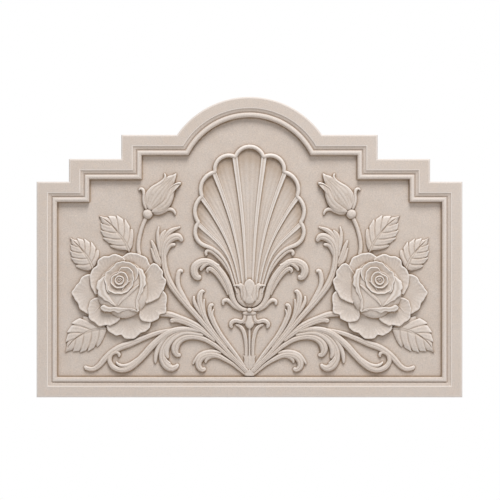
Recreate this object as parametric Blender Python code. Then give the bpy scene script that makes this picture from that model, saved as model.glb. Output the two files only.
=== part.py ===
"""Tympanum panel: a stepped and arched stone slab with a moulded frame round a sunk field, and a
shell, a tulip bud, roses, rosebuds, leaves and acanthus scrolls carved on the field, all one block.

Metres, +Z up. The front faces -Y and the back lies on the plane Y = 0. The origin is on the back,
on the panel's axis, at half of its full height.

The carving is laid out as a mason squares up a cartoon: the field is divided into SQUARES_WIDE by
SQUARES_HIGH squares, x counts squares from the axis and z squares from the panel's foot. Only the
right half is drawn, and the left is its mirror image.
"""

import math

import bmesh
import bpy
import numpy as np

# The slab's outline, from the foot up
PANEL_WIDTH = 1.200
PANEL_THICKNESS = 0.060
SHOULDER_HEIGHT = 0.608
FIRST_TREAD = 0.091
FIRST_RISE = 0.064
SECOND_TREAD = 0.1476
SECOND_RISE = 0.068
ARCH_RADIUS = 0.2493
ARCH_RISE = 0.107
ARCH_SEGMENTS = 16

# The frame's section, from the outer edge to the field
ARRIS = 0.004
FILLET_WIDTH = 0.0324
COVE_WIDTH = 0.0099
COVE_DEPTH = 0.007
ROLL_WIDTH = 0.0155
ROLL_SET_BACK = 0.001
ROLL_SEGMENTS = 5
FIELD_DEPTH = 0.016

# How far each kind of carving stands above the field
SCROLL_RELIEF = 0.012
SHELL_RELIEF = 0.011
SHELL_FLOOR_RELIEF = 0.0035
CALYX_RELIEF = 0.018
PENDANT_RELIEF = 0.011
ROSE_RELIEF = 0.034
ROSEBUD_RELIEF = 0.016
LEAF_RELIEF = 0.010
STEM_RELIEF = 0.009

# The cartoon: squares across and up the field, and the squares that the frame takes below it
SQUARES_WIDE = 385.0
SQUARES_HIGH = 259.6
SQUARES_BELOW = 20.5

# How finely the carving is faceted
TURN_STEP = math.radians(20.0)
LONGEST_SPAN = 60.0
SPAN_SAMPLES = 8
ROOT_DEPTH = 0.003
ROOT_STEP = 0.00012
SHARP_ANGLE = math.radians(32.0)
MERGE_DISTANCE = 0.00001
FLAT_ANGLE = math.radians(1.5)
RIDGE_SPREAD = 1.3
RIDGE_SWELL = 0.4

STONE_COLOUR = (0.585, 0.509, 0.454, 1.0)
STONE_ROUGHNESS = 0.85

HALF_WIDTH = PANEL_WIDTH / 2
PANEL_HEIGHT = SHOULDER_HEIGHT + FIRST_RISE + SECOND_RISE + ARCH_RISE
FRAME_WIDTH = FILLET_WIDTH + COVE_WIDTH + ROLL_WIDTH
FOOT_Z = -PANEL_HEIGHT / 2
SQUARE_X = (PANEL_WIDTH - 2 * FRAME_WIDTH) / SQUARES_WIDE
SQUARE_Z = (PANEL_HEIGHT - 2 * FRAME_WIDTH) / SQUARES_HIGH
FRONT_Y = -PANEL_THICKNESS
FIELD_Y = FRONT_Y + FIELD_DEPTH

# Stems, scrolls and acanthus lobes: share of SCROLL_RELIEF, then places (x, z, half-width)
SCROLLS = {
    "foot_curl": (0.85, (
        (3.5, 22, 1.4), (10, 27.5, 1.6), (25, 38, 2.3), (41, 42.2, 3.5), (50.5, 37.5, 3.7),
        (51, 31, 3.1), (47, 27.4, 2.4), (43.8, 29.5, 1.9))),
    "foot_curl_back": (0.65, ((28, 44, 1.2), (41, 45.3, 1.9), (50, 42.3, 2.0), (57, 32.8, 0.9))),
    "foot_curl_inside": (0.70, ((28, 40.5, 1.5), (38, 40.8, 2.3), (42.5, 38, 2.2), (44, 34.4, 1.2))),
    "low_curl": (1.00, (
        (5, 27, 1.6), (24, 43.5, 2.1), (45, 57.6, 2.6), (62, 60, 3.2), (72, 55.3, 4.1),
        (74.6, 48, 4.1), (72, 42.4, 2.8), (68.6, 43.4, 1.7))),
    "low_lobe": (0.90, ((46, 62, 1.8), (64, 63.8, 2.4), (78, 57, 3.0), (83.6, 46, 3.0), (81.5, 38, 1.2))),
    "low_volute": (0.95, (
        (56, 65.8, 1.9), (78, 60.2, 2.8), (87.3, 46, 3.9), (86.6, 35.5, 4.3), (79.5, 28.8, 3.5),
        (73.6, 30.4, 2.5), (73, 34, 1.6))),
    "low_lobe_back": (0.80, ((70, 66.5, 1.6), (84, 59.5, 2.2), (93, 45.5, 2.2), (94.3, 33.8, 1.2))),
    "long_tendril": (0.95, (
        (48, 66, 2.0), (73, 67.2, 3.2), (91, 57.3, 3.5), (106, 42, 3.4), (120, 29.4, 3.2),
        (131, 27.6, 2.8), (139.2, 34, 2.5), (138.4, 42.5, 2.2), (133, 44.6, 1.9), (131, 40.8, 1.5))),
    "tendril_lobe": (0.80, ((110, 40, 1.6), (120, 32.8, 2.0), (129, 31.6, 1.8), (134, 35.5, 0.8))),
    "back_tendril": (0.70, (
        (70, 68.5, 1.6), (95, 63.3, 2.5), (120, 53.3, 3.4), (139, 44, 3.4), (151, 31.5, 2.9),
        (158, 28.2, 2.6), (164, 30, 1.8))),
    "inner_curl": (0.85, (
        (4, 28, 1.6), (20, 50.5, 2.3), (34, 71, 2.8), (39.6, 84, 2.9), (39, 91.2, 2.3), (35.6, 92, 1.5))),
    "middle_leaf": (0.90, (
        (24, 51, 2.0), (38, 69, 3.0), (47, 85, 3.9), (50.5, 98, 3.8), (48.5, 105, 2.6), (44.8, 105.2, 1.4))),
    "middle_leaf_side": (0.75, ((44, 77, 1.8), (51.5, 88, 2.3), (55.4, 96, 1.8), (55.4, 101, 0.9))),
    "main_stem": (1.00, (
        (4.5, 28, 1.8), (28, 52.5, 2.6), (52, 80.5, 3.2), (73, 104.5, 3.6), (83.5, 122, 3.6),
        (86.3, 138, 3.7), (85, 151, 4.3), (77.5, 159.6, 4.3), (69.8, 159.6, 3.2), (66.6, 155.6, 1.5))),
    "stem_curl": (0.80, (
        (58, 89, 1.2), (68.5, 105, 2.6), (72.3, 119, 2.7), (70.3, 126.2, 2.2), (66.4, 125.6, 1.3))),
    "rose_stem": (0.85, ((38, 60, 2.0), (58, 74.7, 2.6), (78, 82, 3.0), (92, 85, 3.3))),
    "stem_lobe": (0.85, ((34, 56.2, 2.2), (52, 69, 3.0), (68, 76, 2.8), (81, 76.4, 2.4))),
    "top_inner_lobe": (0.80, ((86.5, 136, 1.8), (84.4, 147, 2.6), (79, 152.6, 2.4), (73.4, 153, 1.4))),
    "top_lobe": (0.80, ((88.5, 146, 1.8), (87, 156, 2.6), (81, 164, 2.8), (69.6, 170, 0.9))),
    "top_spray": (0.75, ((89, 140, 2.2), (90.2, 154, 3.0), (88.5, 164, 2.4), (90.6, 170.6, 1.0))),
    "top_side_lobe": (0.70, ((89.5, 134, 2.4), (93.6, 146, 2.6), (95.5, 153, 2.0), (98.6, 157, 0.9))),
    "calyx_scroll": (1.10, (
        (4, 87.8, 2.1), (13, 92.3, 2.5), (19.3, 104, 3.0), (25, 119.5, 3.4), (36, 133, 3.6),
        (49, 135.6, 3.8), (56, 126.6, 3.9), (51.4, 119.8, 2.8), (46.8, 121.8, 1.6))),
    "calyx_lobe": (0.90, ((20.6, 103, 1.6), (27, 117.4, 2.4), (35.4, 127, 2.8), (42.4, 128.2, 1.6))),
    "calyx_curl": (0.75, ((9, 87.4, 1.8), (19, 94, 2.3), (24.6, 95.6, 2.1), (26.4, 91.6, 1.2))),
    "shell_curl": (0.80, (
        (15.2, 112.2, 1.6), (21, 127, 1.7), (30, 139.5, 1.8), (40.4, 147, 1.9), (43.6, 143, 1.2))),
    "pendant_scroll": (0.75, (
        (4, 81.5, 1.6), (6.8, 76.6, 1.8), (12, 76.8, 2.0), (17.6, 76, 2.2), (18.4, 71.4, 1.7))),
    "pendant_stem": (0.60, ((3.2, 30, 1.7), (3.5, 52, 2.0), (6.2, 66.5, 2.1), (12.5, 73, 1.6))),
    "axis_rib": (0.72, ((0.1, 26, 1.4), (0.1, 70, 1.5))),
}

# Shell: where the scalloped rim is pinched in, from the crown down, and how far each lobe bulges
RIM_NOTCHES = ((-14, 240.5), (14, 240.5), (34.5, 225.5), (47.5, 201), (51, 175), (45, 152))
RIM_BULGES = (10.5, 8.0, 6.6, 5.4, 6.2)
RIM_HALF_WIDTH = 2.1
RIM_FLAT = 0.5
RIM_LOBE_STEPS = 5
RIB_SHARE = 0.85
RIBS = (
    ((3.2, 116, 1.0), (6.6, 170, 2.2), (13.8, 239, 2.7)),
    ((7, 115, 1.0), (15, 162, 1.9), (34.4, 223, 2.6)),
    ((10, 114, 1.0), (20.6, 151, 1.7), (46.4, 200, 2.4)),
    ((12.5, 113, 1.0), (24, 143.5, 1.6), (49.8, 174, 2.2)),
    ((15, 112, 1.2), (25, 136.5, 1.7), (44.4, 151.4, 1.9)),
)
FAN_ROOT = ((20, 124), (11, 109))
FAN_MIDDLE = 150.0
FAN_PROFILE = (1.0, 1.4, 1.8)

# A plate's profile gives its height at the outline, at the ring inside it and at its middle, as
# shares of its full height. RING_SHARE is how far out from the middle that ring is.
RING_SHARE = 0.62

# Tulip bud, collar, pendant and foot on the axis: the right half of each outline, top to bottom.
# The forms' middle places stand a hair off the axis, so that no edge runs along it.
TULIP_BODY = ((1.6, 116.4), (5.4, 113.6), (14.3, 108.4), (13.2, 101), (10.6, 95), (5, 90.8), (1.8, 89.8))
TULIP_PETAL = ((1.1, 118), (5.3, 113), (3.9, 106), (3.4, 99), (1.2, 96))
TULIP_LIP = (0.95, ((8.6, 104, 1.4), (8.4, 110.4, 1.8), (12, 112.4, 1.7), (17.2, 111.8, 1.0)))
COLLAR = ((1.5, 91.4), (3.2, 87.6), (7, 84.6), (7, 81.8), (1.7, 81.2))
PENDANT = ((1.4, 83.2), (2.6, 81.9), (4.5, 74), (3.2, 70.4), (0.8, 68))
FOOT = ((1.3, 34), (3.6, 31), (5.6, 26), (4.4, 21.8), (1.9, 21.3))
AXIS_OFFSET = 0.3
AXIS_FORMS = (
    ("tulip_body", TULIP_BODY, 103, CALYX_RELIEF, (0.45, 0.80, 0.86)),
    ("tulip_petal", TULIP_PETAL, 108, CALYX_RELIEF, (0.78, 0.95, 1.0)),
    ("collar", COLLAR, 86, CALYX_RELIEF, (0.55, 0.75, 0.85)),
    ("pendant", PENDANT, 74.5, PENDANT_RELIEF, (0.5, 0.9, 1.0)),
    ("foot", FOOT, 27, PENDANT_RELIEF, (0.6, 0.92, 1.0)),
)

# Rose: each petal's lip from one end to the other, the point it grows from, and its share of relief
PETALS = {
    "bottom": (((98, 77), (103, 66.5), (113, 60), (121, 58.2), (132, 61.8), (143, 70)), (122, 92), 0.36),
    "left_low": (((89, 107), (82.6, 98), (83.6, 86), (90, 81), (98, 75.6), (113, 82)), (108, 96), 0.45),
    "left": (((99, 133), (91.4, 131.8), (86, 121.6), (84, 111), (91, 99.6), (104, 94)), (112, 112), 0.53),
    "right": (((156, 124), (164.4, 122.4), (177.8, 105), (171, 92), (166, 85.2), (156, 83)),
              (140, 104), 0.38),
    "right_low": (((151, 100), (160.2, 95), (161.4, 83), (153, 72.6), (141, 71.6), (129, 78.4)),
                  (135, 96), 0.46),
    "top_left": (((103, 111), (98.8, 125), (102, 137.6), (110.6, 143), (118, 144.8), (127.4, 140.8)),
                 (119, 112), 0.42),
    "top_right": (((121, 137), (136.6, 143.2), (147.4, 140.8), (155, 129.4), (159.8, 117), (153.6, 101.6)),
                  (134, 112), 0.48),
}
ROSE_BOWL = (
    (101.8, 104), (104, 93.6), (112, 83.8), (124.6, 79.4), (138, 83.6), (150, 93), (152.6, 107),
    (149, 118.6), (141, 127), (130, 135), (116, 133), (104, 122))
PETAL_PROFILE = (1.0, 1.04, 0.94)
PETAL_MIDDLE = 0.55
BOWL_PROFILE = (0.54, 0.71, 0.77)
ROSE_FOLDS = (
    (0.78, ((113, 130, 1.6), (104.8, 121, 2.6), (105.4, 110.6, 3.0), (110, 99, 2.2), (111.4, 86, 1.2))),
    (0.80, ((145, 120.6, 1.6), (151, 112.4, 2.6), (149, 101.4, 3.0), (141, 96, 2.4), (133, 91.6, 1.0))),
    (0.76, ((111.4, 85.8, 0.9), (121, 88.2, 1.4), (134, 87.4, 2.6), (142.4, 88, 2.4), (148.8, 90.4, 1.2))),
    (0.88, ((112.6, 130, 1.3), (124.6, 134.4, 1.7), (137, 127.6, 2.0), (143.6, 117, 2.0),
            (141.4, 107, 2.2), (131, 103.4, 1.8), (121.6, 105.4, 1.2))),
    (0.90, ((110.6, 112.6, 1.0), (120, 103, 1.4), (126.6, 97.6, 1.3), (131, 92, 0.8))),
    (0.94, ((131.4, 126.4, 1.0), (124.4, 129.6, 1.4), (116.8, 123, 1.5), (117, 112, 1.4), (121, 106, 1.0))),
)
ROSE_EYE = (129.5, 116.4)
ROSE_COILS = ((0.97, 8.2, 1.7, 150.0), (1.00, 4.4, 1.4, 320.0))
ROSE_COIL_SWEEP = 300.0
ROSE_COIL_STEPS = 8
ROSE_EYE_RADIUS = 1.8
ROSE_EYE_SIDES = 6
ROSE_EYE_PROFILE = (0.90, 0.98, 1.0)

# Rosebud: outlines with a share of relief, then its sepals and its ball
ROSEBUD_PLATES = (
    (0.95, ((73.4, 223.4), (83, 220.2), (97.4, 210.8), (104.2, 200), (102.4, 189), (95, 188), (82, 198),
            (76.4, 212))),
    (0.78, ((69, 214.2), (76, 212.4), (82.6, 207.8), (86, 197), (98, 187), (89, 185), (79, 192.8),
            (75.6, 205))),
)
ROSEBUD_SEPALS = (
    (0.72, ((104, 193, 1.5), (103, 204, 2.0), (96, 211.4, 2.0), (86.2, 218, 1.7), (84.8, 224, 1.0))),
    (0.66, ((103.4, 188, 1.6), (106.4, 197, 2.0), (106.8, 206.4, 2.0), (111, 207.6, 1.2))),
    (0.66, ((97, 184.4, 1.8), (87, 186.2, 2.8), (78, 188.2, 2.3), (74.5, 183.6, 1.4))),
)
ROSEBUD_PROFILE = (0.6, 0.95, 1.0)
ROSEBUD_BALL = (102.0, 183.4)
ROSEBUD_BALL_RADIUS = 5.0
ROSEBUD_STEM = ((104, 180, 2.1), (110, 163, 2.1), (111.5, 150, 2.1), (110.4, 140, 2.1))
BALL_SIDES = 10
BALL_PROFILE = (0.40, 0.78, 0.90)

# Leaves: where each grows from, its tip, how far its midrib bows, and its half-width to the left
# and to the right of the way it grows
LEAVES = (
    ((121.3, 144.5), (149.7, 180.9), 3.5, 12.6, 12.6),
    ((156.2, 129.0), (179.3, 159.0), 1.8, 12.4, 12.4),
    ((142.4, 69.4), (184.2, 45.4), 7.0, 14.4, 16.4),
)
LEAF_LOBES = 5
LEAF_SLANT = 0.45
LEAF_FULLNESS = 0.8
LEAF_ROUNDNESS = 0.75
LEAF_CROWN = 0.55
LEAF_EDGE_SHARE = 0.5
LEAF_MIDRIB_SHARE = 0.95
# Within each lobe: where along it, what share of the half-width, and how puffed it is
LEAF_NOTCH = (0.12, 0.84, 0.66)
LEAF_TOOTH = (0.82, 1.0, 0.92)


def clear_scene():
    """Remove whatever the file holds."""
    for old in list(bpy.data.objects):
        bpy.data.objects.remove(old)


def stone_material():
    """The one material: fine-grained pale limestone."""
    material = bpy.data.materials.new("stone")
    material.use_nodes = True
    shader = material.node_tree.nodes["Principled BSDF"]
    shader.inputs["Base Color"].default_value = STONE_COLOUR
    shader.inputs["Roughness"].default_value = STONE_ROUGHNESS
    shader.inputs["Metallic"].default_value = 0.0
    return material


def outline(inset):
    """Corners of the panel's outline, moved in by inset, all round from the foot's left corner."""
    half = HALF_WIDTH - inset
    shoulder = FOOT_Z + SHOULDER_HEIGHT - inset
    first_half = half - FIRST_TREAD
    first = shoulder + FIRST_RISE
    second_half = first_half - SECOND_TREAD
    second = first + SECOND_RISE
    radius = ARCH_RADIUS - inset
    centre = FOOT_Z + PANEL_HEIGHT - ARCH_RADIUS
    spring = math.asin((second - centre) / radius)
    right = [(half, FOOT_Z + inset), (half, shoulder), (first_half, shoulder), (first_half, first),
             (second_half, first), (second_half, second)]
    angles = np.linspace(spring, math.pi - spring, ARCH_SEGMENTS + 1)
    arch = [(radius * math.cos(a), centre + radius * math.sin(a)) for a in angles]
    left = [(-x, z) for x, z in reversed(right)]
    return right + arch + left


def frame_section():
    """The frame's section as (inset, y): arris, fillet, cove, half-round roll, edge of the field."""
    roll_outer = FILLET_WIDTH + COVE_WIDTH
    roll_top = FRONT_Y + ROLL_SET_BACK
    groove = FRONT_Y + COVE_DEPTH
    section = [(0.0, FRONT_Y + ARRIS), (ARRIS, FRONT_Y), (FILLET_WIDTH, FRONT_Y)]
    section.append((roll_outer, groove))
    for step in range(1, ROLL_SEGMENTS):
        angle = math.pi * step / ROLL_SEGMENTS
        across = roll_outer + ROLL_WIDTH * (1 - math.cos(angle)) / 2
        section.append((across, groove + (roll_top - groove) * math.sin(angle)))
    section.append((FRAME_WIDTH, groove))
    section.append((FRAME_WIDTH, FIELD_Y))
    return section


def make_slab():
    """Carry the frame's section round the outline, and close it with the field and the back."""
    shape = bmesh.new()
    rings = [(0.0, 0.0)] + frame_section()
    loops = []
    for inset, y in rings:
        loops.append([shape.verts.new((x, y, z)) for x, z in outline(inset)])
    shape.faces.new(loops[0])
    for outer, inner in zip(loops, loops[1:]):
        for i in range(len(outer)):
            j = (i + 1) % len(outer)
            shape.faces.new((outer[j], outer[i], inner[i], inner[j]))
    shape.faces.new(list(reversed(loops[-1])))
    return finish_shape("tympanum_panel", shape)


def finish_shape(name, shape):
    """Turn a bmesh into an object with its faces pointing outwards."""
    bmesh.ops.recalc_face_normals(shape, faces=shape.faces)
    mesh = bpy.data.meshes.new(name)
    shape.to_mesh(mesh)
    shape.free()
    piece = bpy.data.objects.new(name, mesh)
    bpy.context.scene.collection.objects.link(piece)
    return piece


class Relief:
    """Collects the closed forms that the carving is joined from, each rooted in the slab."""

    def __init__(self):
        self.collection = bpy.data.collections.new("relief")
        bpy.context.scene.collection.children.link(self.collection)
        self.count = 0

    def root(self):
        """Height of the next form's hidden base, a hair deeper for each form."""
        self.count += 1
        return -ROOT_DEPTH - ROOT_STEP * self.count

    def add(self, name, shape):
        form = finish_shape(name, shape)
        bpy.context.scene.collection.objects.unlink(form)
        self.collection.objects.link(form)
        form.hide_render = True
        form.display_type = "WIRE"

    def clear(self):
        for form in list(self.collection.objects):
            bpy.data.objects.remove(form)
        bpy.data.collections.remove(self.collection)


def corner(shape, x, z, height):
    """A vertex at a place on the cartoon, height metres above the field."""
    place = (x * SQUARE_X, FIELD_Y - height, FOOT_Z + FRAME_WIDTH + (z - SQUARES_BELOW) * SQUARE_Z)
    return shape.verts.new(place)


def smooth_run(places, closed=False):
    """Catmull-Rom curve through the places, with as many values in each as they are given."""
    points = np.array(places, dtype=float)
    if closed:
        points = np.vstack((points[-1], points, points[:2]))
    else:
        points = np.vstack((2 * points[0] - points[1], points, 2 * points[-1] - points[-2]))
    t = np.linspace(0.0, 1.0, SPAN_SAMPLES, endpoint=False)[:, None]
    spans = []
    for a, b, c, d in zip(points, points[1:], points[2:], points[3:]):
        curve = 2 * b + (c - a) * t + (2 * a - 5 * b + 4 * c - d) * t ** 2
        spans.append(0.5 * (curve + (3 * b - a - 3 * c + d) * t ** 3))
    if not closed:
        spans.append(points[-2][None, :])
    return np.vstack(spans)


def stations(curve):
    """The samples to keep: one each time the curve has turned by TURN_STEP or run LONGEST_SPAN."""
    steps = np.diff(curve[:, :2], axis=0)
    heading = np.unwrap(np.arctan2(steps[:, 1], steps[:, 0]))
    lengths = np.concatenate(([0.0], np.cumsum(np.hypot(steps[:, 0], steps[:, 1]))))
    kept = [0]
    for i in range(1, len(curve) - 2):
        turned = abs(heading[i] - heading[kept[-1]])
        if turned > TURN_STEP or lengths[i] - lengths[kept[-1]] > LONGEST_SPAN:
            kept.append(i)
    kept.append(len(curve) - 1)
    return curve[kept], heading[np.minimum(kept, len(heading) - 1)]


def add_sweep(relief, name, places, height):
    """A stem or lobe: a ridge that rises to the middle, carried along a smooth run of places. It is
    as high as height where it is widest, and lower where it is narrow."""
    rows, heading = stations(smooth_run(places))
    tops = height * (rows[:, 2] / rows[:, 2].max()) ** RIDGE_SWELL
    root = relief.root()
    sections = [((RIDGE_SPREAD, root), (0.0, top), (-RIDGE_SPREAD, root)) for top in tops]
    relief.add(name, carry(rows, heading, sections))


def carry(rows, heading, sections):
    """Closed form from one section per row, each a list of (share of the half-width, level)."""
    shape = bmesh.new()
    loops = []
    for (x, z, half), angle, section in zip(rows, heading, sections):
        side = (-math.sin(angle) * half, math.cos(angle) * half)
        loops.append([corner(shape, x + side[0] * share, z + side[1] * share, level)
                      for share, level in section])
    for near, far in zip(loops, loops[1:]):
        for i in range(len(near)):
            j = (i + 1) % len(near)
            shape.faces.new((near[i], near[j], far[j], far[i]))
    shape.faces.new(loops[0])
    shape.faces.new(list(reversed(loops[-1])))
    return shape


def add_plate(relief, name, edge, middle, height, profile):
    """A petal or a body: its outline drawn in towards a middle place, rising and falling by its
    profile, with walls down into the slab."""
    shape = bmesh.new()
    root = relief.root()
    edge = np.array(edge, dtype=float)[:, :2]
    middle = np.array(middle, dtype=float)
    loops = [[corner(shape, x, z, root) for x, z in edge]]
    for reach, share in zip((1.0, RING_SHARE), profile):
        places = middle + (edge - middle) * reach
        loops.append([corner(shape, x, z, height * share) for x, z in places])
    top = corner(shape, middle[0], middle[1], height * profile[-1])
    count = len(edge)
    shape.faces.new(loops[0])
    for outer, inner in zip(loops, loops[1:]):
        for i in range(count):
            j = (i + 1) % count
            shape.faces.new((outer[i], outer[j], inner[j], inner[i]))
    for i in range(count):
        shape.faces.new((loops[-1][i], loops[-1][(i + 1) % count], top))
    relief.add(name, shape)


def circle(middle, radius, sides):
    """A ring of places round a middle."""
    angles = 2 * math.pi * np.arange(sides) / sides
    return [(middle[0] + radius * math.cos(a), middle[1] + radius * math.sin(a)) for a in angles]


def both_sides(half_edge):
    """Close the right half of an outline with its mirror image."""
    return list(half_edge) + [(-x, z) for x, z in reversed(half_edge)]


def rim_lobe(start, end, bulge):
    """Places along one lobe of the rim: the arc from start to end that bulges out to the left."""
    start = np.array(start, dtype=float)
    end = np.array(end, dtype=float)
    chord = end - start
    half = np.hypot(*chord) / 2
    radius = (half ** 2 + bulge ** 2) / (2 * bulge)
    out = np.array((-chord[1], chord[0])) / (2 * half)
    centre = (start + end) / 2 + out * (bulge - radius)
    first = math.atan2(*(start - centre)[::-1])
    sweep = 2 * math.asin(min(1.0, half / radius))
    if bulge > radius:
        sweep = 2 * math.pi - sweep
    angles = first - sweep * np.arange(RIM_LOBE_STEPS) / RIM_LOBE_STEPS
    return [(centre[0] + radius * math.cos(a), centre[1] + radius * math.sin(a)) for a in angles]


def add_shell(relief):
    """The fan's hollow floor, its ribs, and the half-round rim that scallops round it."""
    rim = []
    for start, end, bulge in zip(RIM_NOTCHES, RIM_NOTCHES[1:], RIM_BULGES):
        rim += rim_lobe(start, end, bulge)
    edge = [place for place in rim if place[0] > 0.0] + list(FAN_ROOT)
    add_plate(relief, "shell_floor", both_sides(edge), (AXIS_OFFSET, FAN_MIDDLE), SHELL_FLOOR_RELIEF,
              FAN_PROFILE)
    for number, rib in enumerate(RIBS):
        add_sweep(relief, f"shell_rib_{number + 1}", rib, SHELL_RELIEF * RIB_SHARE)
    rows = [(x, z, RIM_HALF_WIDTH) for x, z in rim + [RIM_NOTCHES[-1]]]
    add_rim(relief, rows)


def add_rim(relief, rows):
    """The rim's tube, flat-topped, with a section at every place."""
    rows = np.array(rows, dtype=float)
    steps = np.gradient(rows[:, :2], axis=0)
    heading = np.arctan2(steps[:, 1], steps[:, 0])
    root = relief.root()
    section = ((1.0, root), (RIM_FLAT, SHELL_RELIEF), (-RIM_FLAT, SHELL_RELIEF), (-1.0, root))
    relief.add("shell_rim", carry(rows, heading, [section] * len(rows)))


def add_axis_ornament(relief):
    """The tulip bud, its collar, the pendant drop and the foot where the stems meet."""
    for name, half_edge, middle_z, height, profile in AXIS_FORMS:
        add_plate(relief, name, both_sides(half_edge), (AXIS_OFFSET, middle_z), height, profile)
    add_sweep(relief, "tulip_lip", TULIP_LIP[1], CALYX_RELIEF * TULIP_LIP[0])


def add_rose(relief):
    """The open petals, the bowl, the folded lips round it and the coiled heart."""
    for name, (lip, grows_from, share) in PETALS.items():
        edge = smooth_run(lip)[::SPAN_SAMPLES // 2]
        middle = np.mean(edge, axis=0) * PETAL_MIDDLE + np.array(grows_from) * (1 - PETAL_MIDDLE)
        closed = list(edge) + [grows_from]
        add_plate(relief, "petal_" + name, closed, middle, ROSE_RELIEF * share, PETAL_PROFILE)
    bowl_middle = np.mean(np.array(ROSE_BOWL, dtype=float), axis=0)
    add_plate(relief, "rose_bowl", ROSE_BOWL, bowl_middle, ROSE_RELIEF, BOWL_PROFILE)
    for number, (share, places) in enumerate(ROSE_FOLDS):
        add_sweep(relief, f"rose_fold_{number + 1}", places, ROSE_RELIEF * share)
    for number, (share, radius, half, start) in enumerate(ROSE_COILS):
        angles = np.radians(start + ROSE_COIL_SWEEP * np.arange(ROSE_COIL_STEPS) / (ROSE_COIL_STEPS - 1))
        places = [(ROSE_EYE[0] + radius * math.cos(a), ROSE_EYE[1] + radius * math.sin(a), half)
                  for a in angles]
        add_sweep(relief, f"rose_coil_{number + 1}", places, ROSE_RELIEF * share)
    eye = circle(ROSE_EYE, ROSE_EYE_RADIUS, ROSE_EYE_SIDES)
    add_plate(relief, "rose_eye", eye, ROSE_EYE, ROSE_RELIEF, ROSE_EYE_PROFILE)


def add_rosebud(relief):
    """The closed bud with its outer petal, sepals, ball and stem."""
    for number, (share, edge) in enumerate(ROSEBUD_PLATES):
        name = f"rosebud_petal_{number + 1}"
        middle = np.mean(np.array(edge, dtype=float), axis=0)
        add_plate(relief, name, edge, middle, ROSEBUD_RELIEF * share, ROSEBUD_PROFILE)
    for number, (share, places) in enumerate(ROSEBUD_SEPALS):
        add_sweep(relief, f"rosebud_sepal_{number + 1}", places, ROSEBUD_RELIEF * share)
    ball = circle(ROSEBUD_BALL, ROSEBUD_BALL_RADIUS, BALL_SIDES)
    add_plate(relief, "rosebud_ball", ball, ROSEBUD_BALL, ROSEBUD_RELIEF, BALL_PROFILE)
    add_sweep(relief, "rosebud_stem", ROSEBUD_STEM, STEM_RELIEF)


def leaf_row(base, tip, bow, half, t, width_share):
    """One side's crown and edge places at share t of a leaf's length, the veins slanting forward."""
    along = np.array(tip, dtype=float) - np.array(base, dtype=float)
    length = np.hypot(*along)
    along = along / length
    left = np.array((-along[1], along[0]))
    middle = np.array(base) + along * length * t + left * bow * math.sin(math.pi * t)
    reach = half * math.sin(math.pi * t ** LEAF_FULLNESS) ** LEAF_ROUNDNESS * width_share
    edge = middle + left * reach + along * abs(reach) * LEAF_SLANT * (1 - t)
    return middle, middle + (edge - middle) * LEAF_CROWN, edge


def add_leaf(relief, number, base, tip, bow, half_left, half_right):
    """A toothed leaf: rows across it at every tooth and notch, puffed between the veins."""
    shape = bmesh.new()
    root = relief.root()
    edge_level = LEAF_RELIEF * LEAF_EDGE_SHARE
    rows = []
    for lobe in range(LEAF_LOBES):
        for part, width_share, puff in (LEAF_NOTCH, LEAF_TOOTH):
            t = (lobe + part) / LEAF_LOBES
            middle, crown_left, edge_left = leaf_row(base, tip, bow, half_left, t, width_share)
            _, crown_right, edge_right = leaf_row(base, tip, bow, -half_right, t, width_share)
            crown_level = LEAF_RELIEF * puff
            row = [(edge_left, root), (edge_left, edge_level), (crown_left, crown_level),
                   (middle, LEAF_RELIEF * LEAF_MIDRIB_SHARE),
                   (crown_right, crown_level), (edge_right, edge_level), (edge_right, root)]
            rows.append([corner(shape, place[0], place[1], level) for place, level in row])
    for near, far in zip(rows, rows[1:]):
        for i in range(len(near)):
            j = (i + 1) % len(near)
            shape.faces.new((near[i], near[j], far[j], far[i]))
    shape.faces.new(rows[0])
    point = [corner(shape, tip[0], tip[1], level) for level in (root, edge_level)]
    last = rows[-1]
    for i in range(1, len(last) - 2):
        shape.faces.new((last[i], last[i + 1], point[1]))
    shape.faces.new((last[0], last[1], point[1], point[0]))
    shape.faces.new((last[-2], last[-1], point[0], point[1]))
    shape.faces.new((last[-1], last[0], point[0]))
    relief.add(f"leaf_{number + 1}", shape)


def carve(panel, relief):
    """Join the right half's forms to the slab, then mirror the whole about the axis."""
    join = panel.modifiers.new("carving", "BOOLEAN")
    join.operation = "UNION"
    join.operand_type = "COLLECTION"
    join.collection = relief.collection
    join.solver = "EXACT"
    mirror = panel.modifiers.new("left half", "MIRROR")
    mirror.use_axis = (True, False, False)
    mirror.use_bisect_axis = (True, False, False)
    mirror.bisect_threshold = MERGE_DISTANCE
    mirror.merge_threshold = MERGE_DISTANCE
    depsgraph = bpy.context.evaluated_depsgraph_get()
    carved = bpy.data.meshes.new_from_object(panel.evaluated_get(depsgraph))
    panel.modifiers.clear()
    panel.data = carved
    relief.clear()
    join_flat_faces(carved)


def join_flat_faces(mesh):
    """Join the slivers that the carving leaves in each nearly flat face."""
    shape = bmesh.new()
    shape.from_mesh(mesh)
    bmesh.ops.remove_doubles(shape, verts=shape.verts, dist=MERGE_DISTANCE)
    bmesh.ops.dissolve_limit(shape, angle_limit=FLAT_ANGLE, use_dissolve_boundaries=False,
                             verts=shape.verts, edges=shape.edges)
    shape.to_mesh(mesh)
    shape.free()


def main():
    clear_scene()
    panel = make_slab()
    relief = Relief()
    for name, (share, places) in SCROLLS.items():
        add_sweep(relief, name, places, SCROLL_RELIEF * share)
    add_shell(relief)
    add_axis_ornament(relief)
    add_rose(relief)
    add_rosebud(relief)
    for number, leaf in enumerate(LEAVES):
        add_leaf(relief, number, *leaf)
    carve(panel, relief)
    panel.data.materials.clear()
    panel.data.materials.append(stone_material())
    panel.data.shade_smooth()
    panel.data.set_sharp_from_angle(angle=SHARP_ANGLE)


main()
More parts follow.
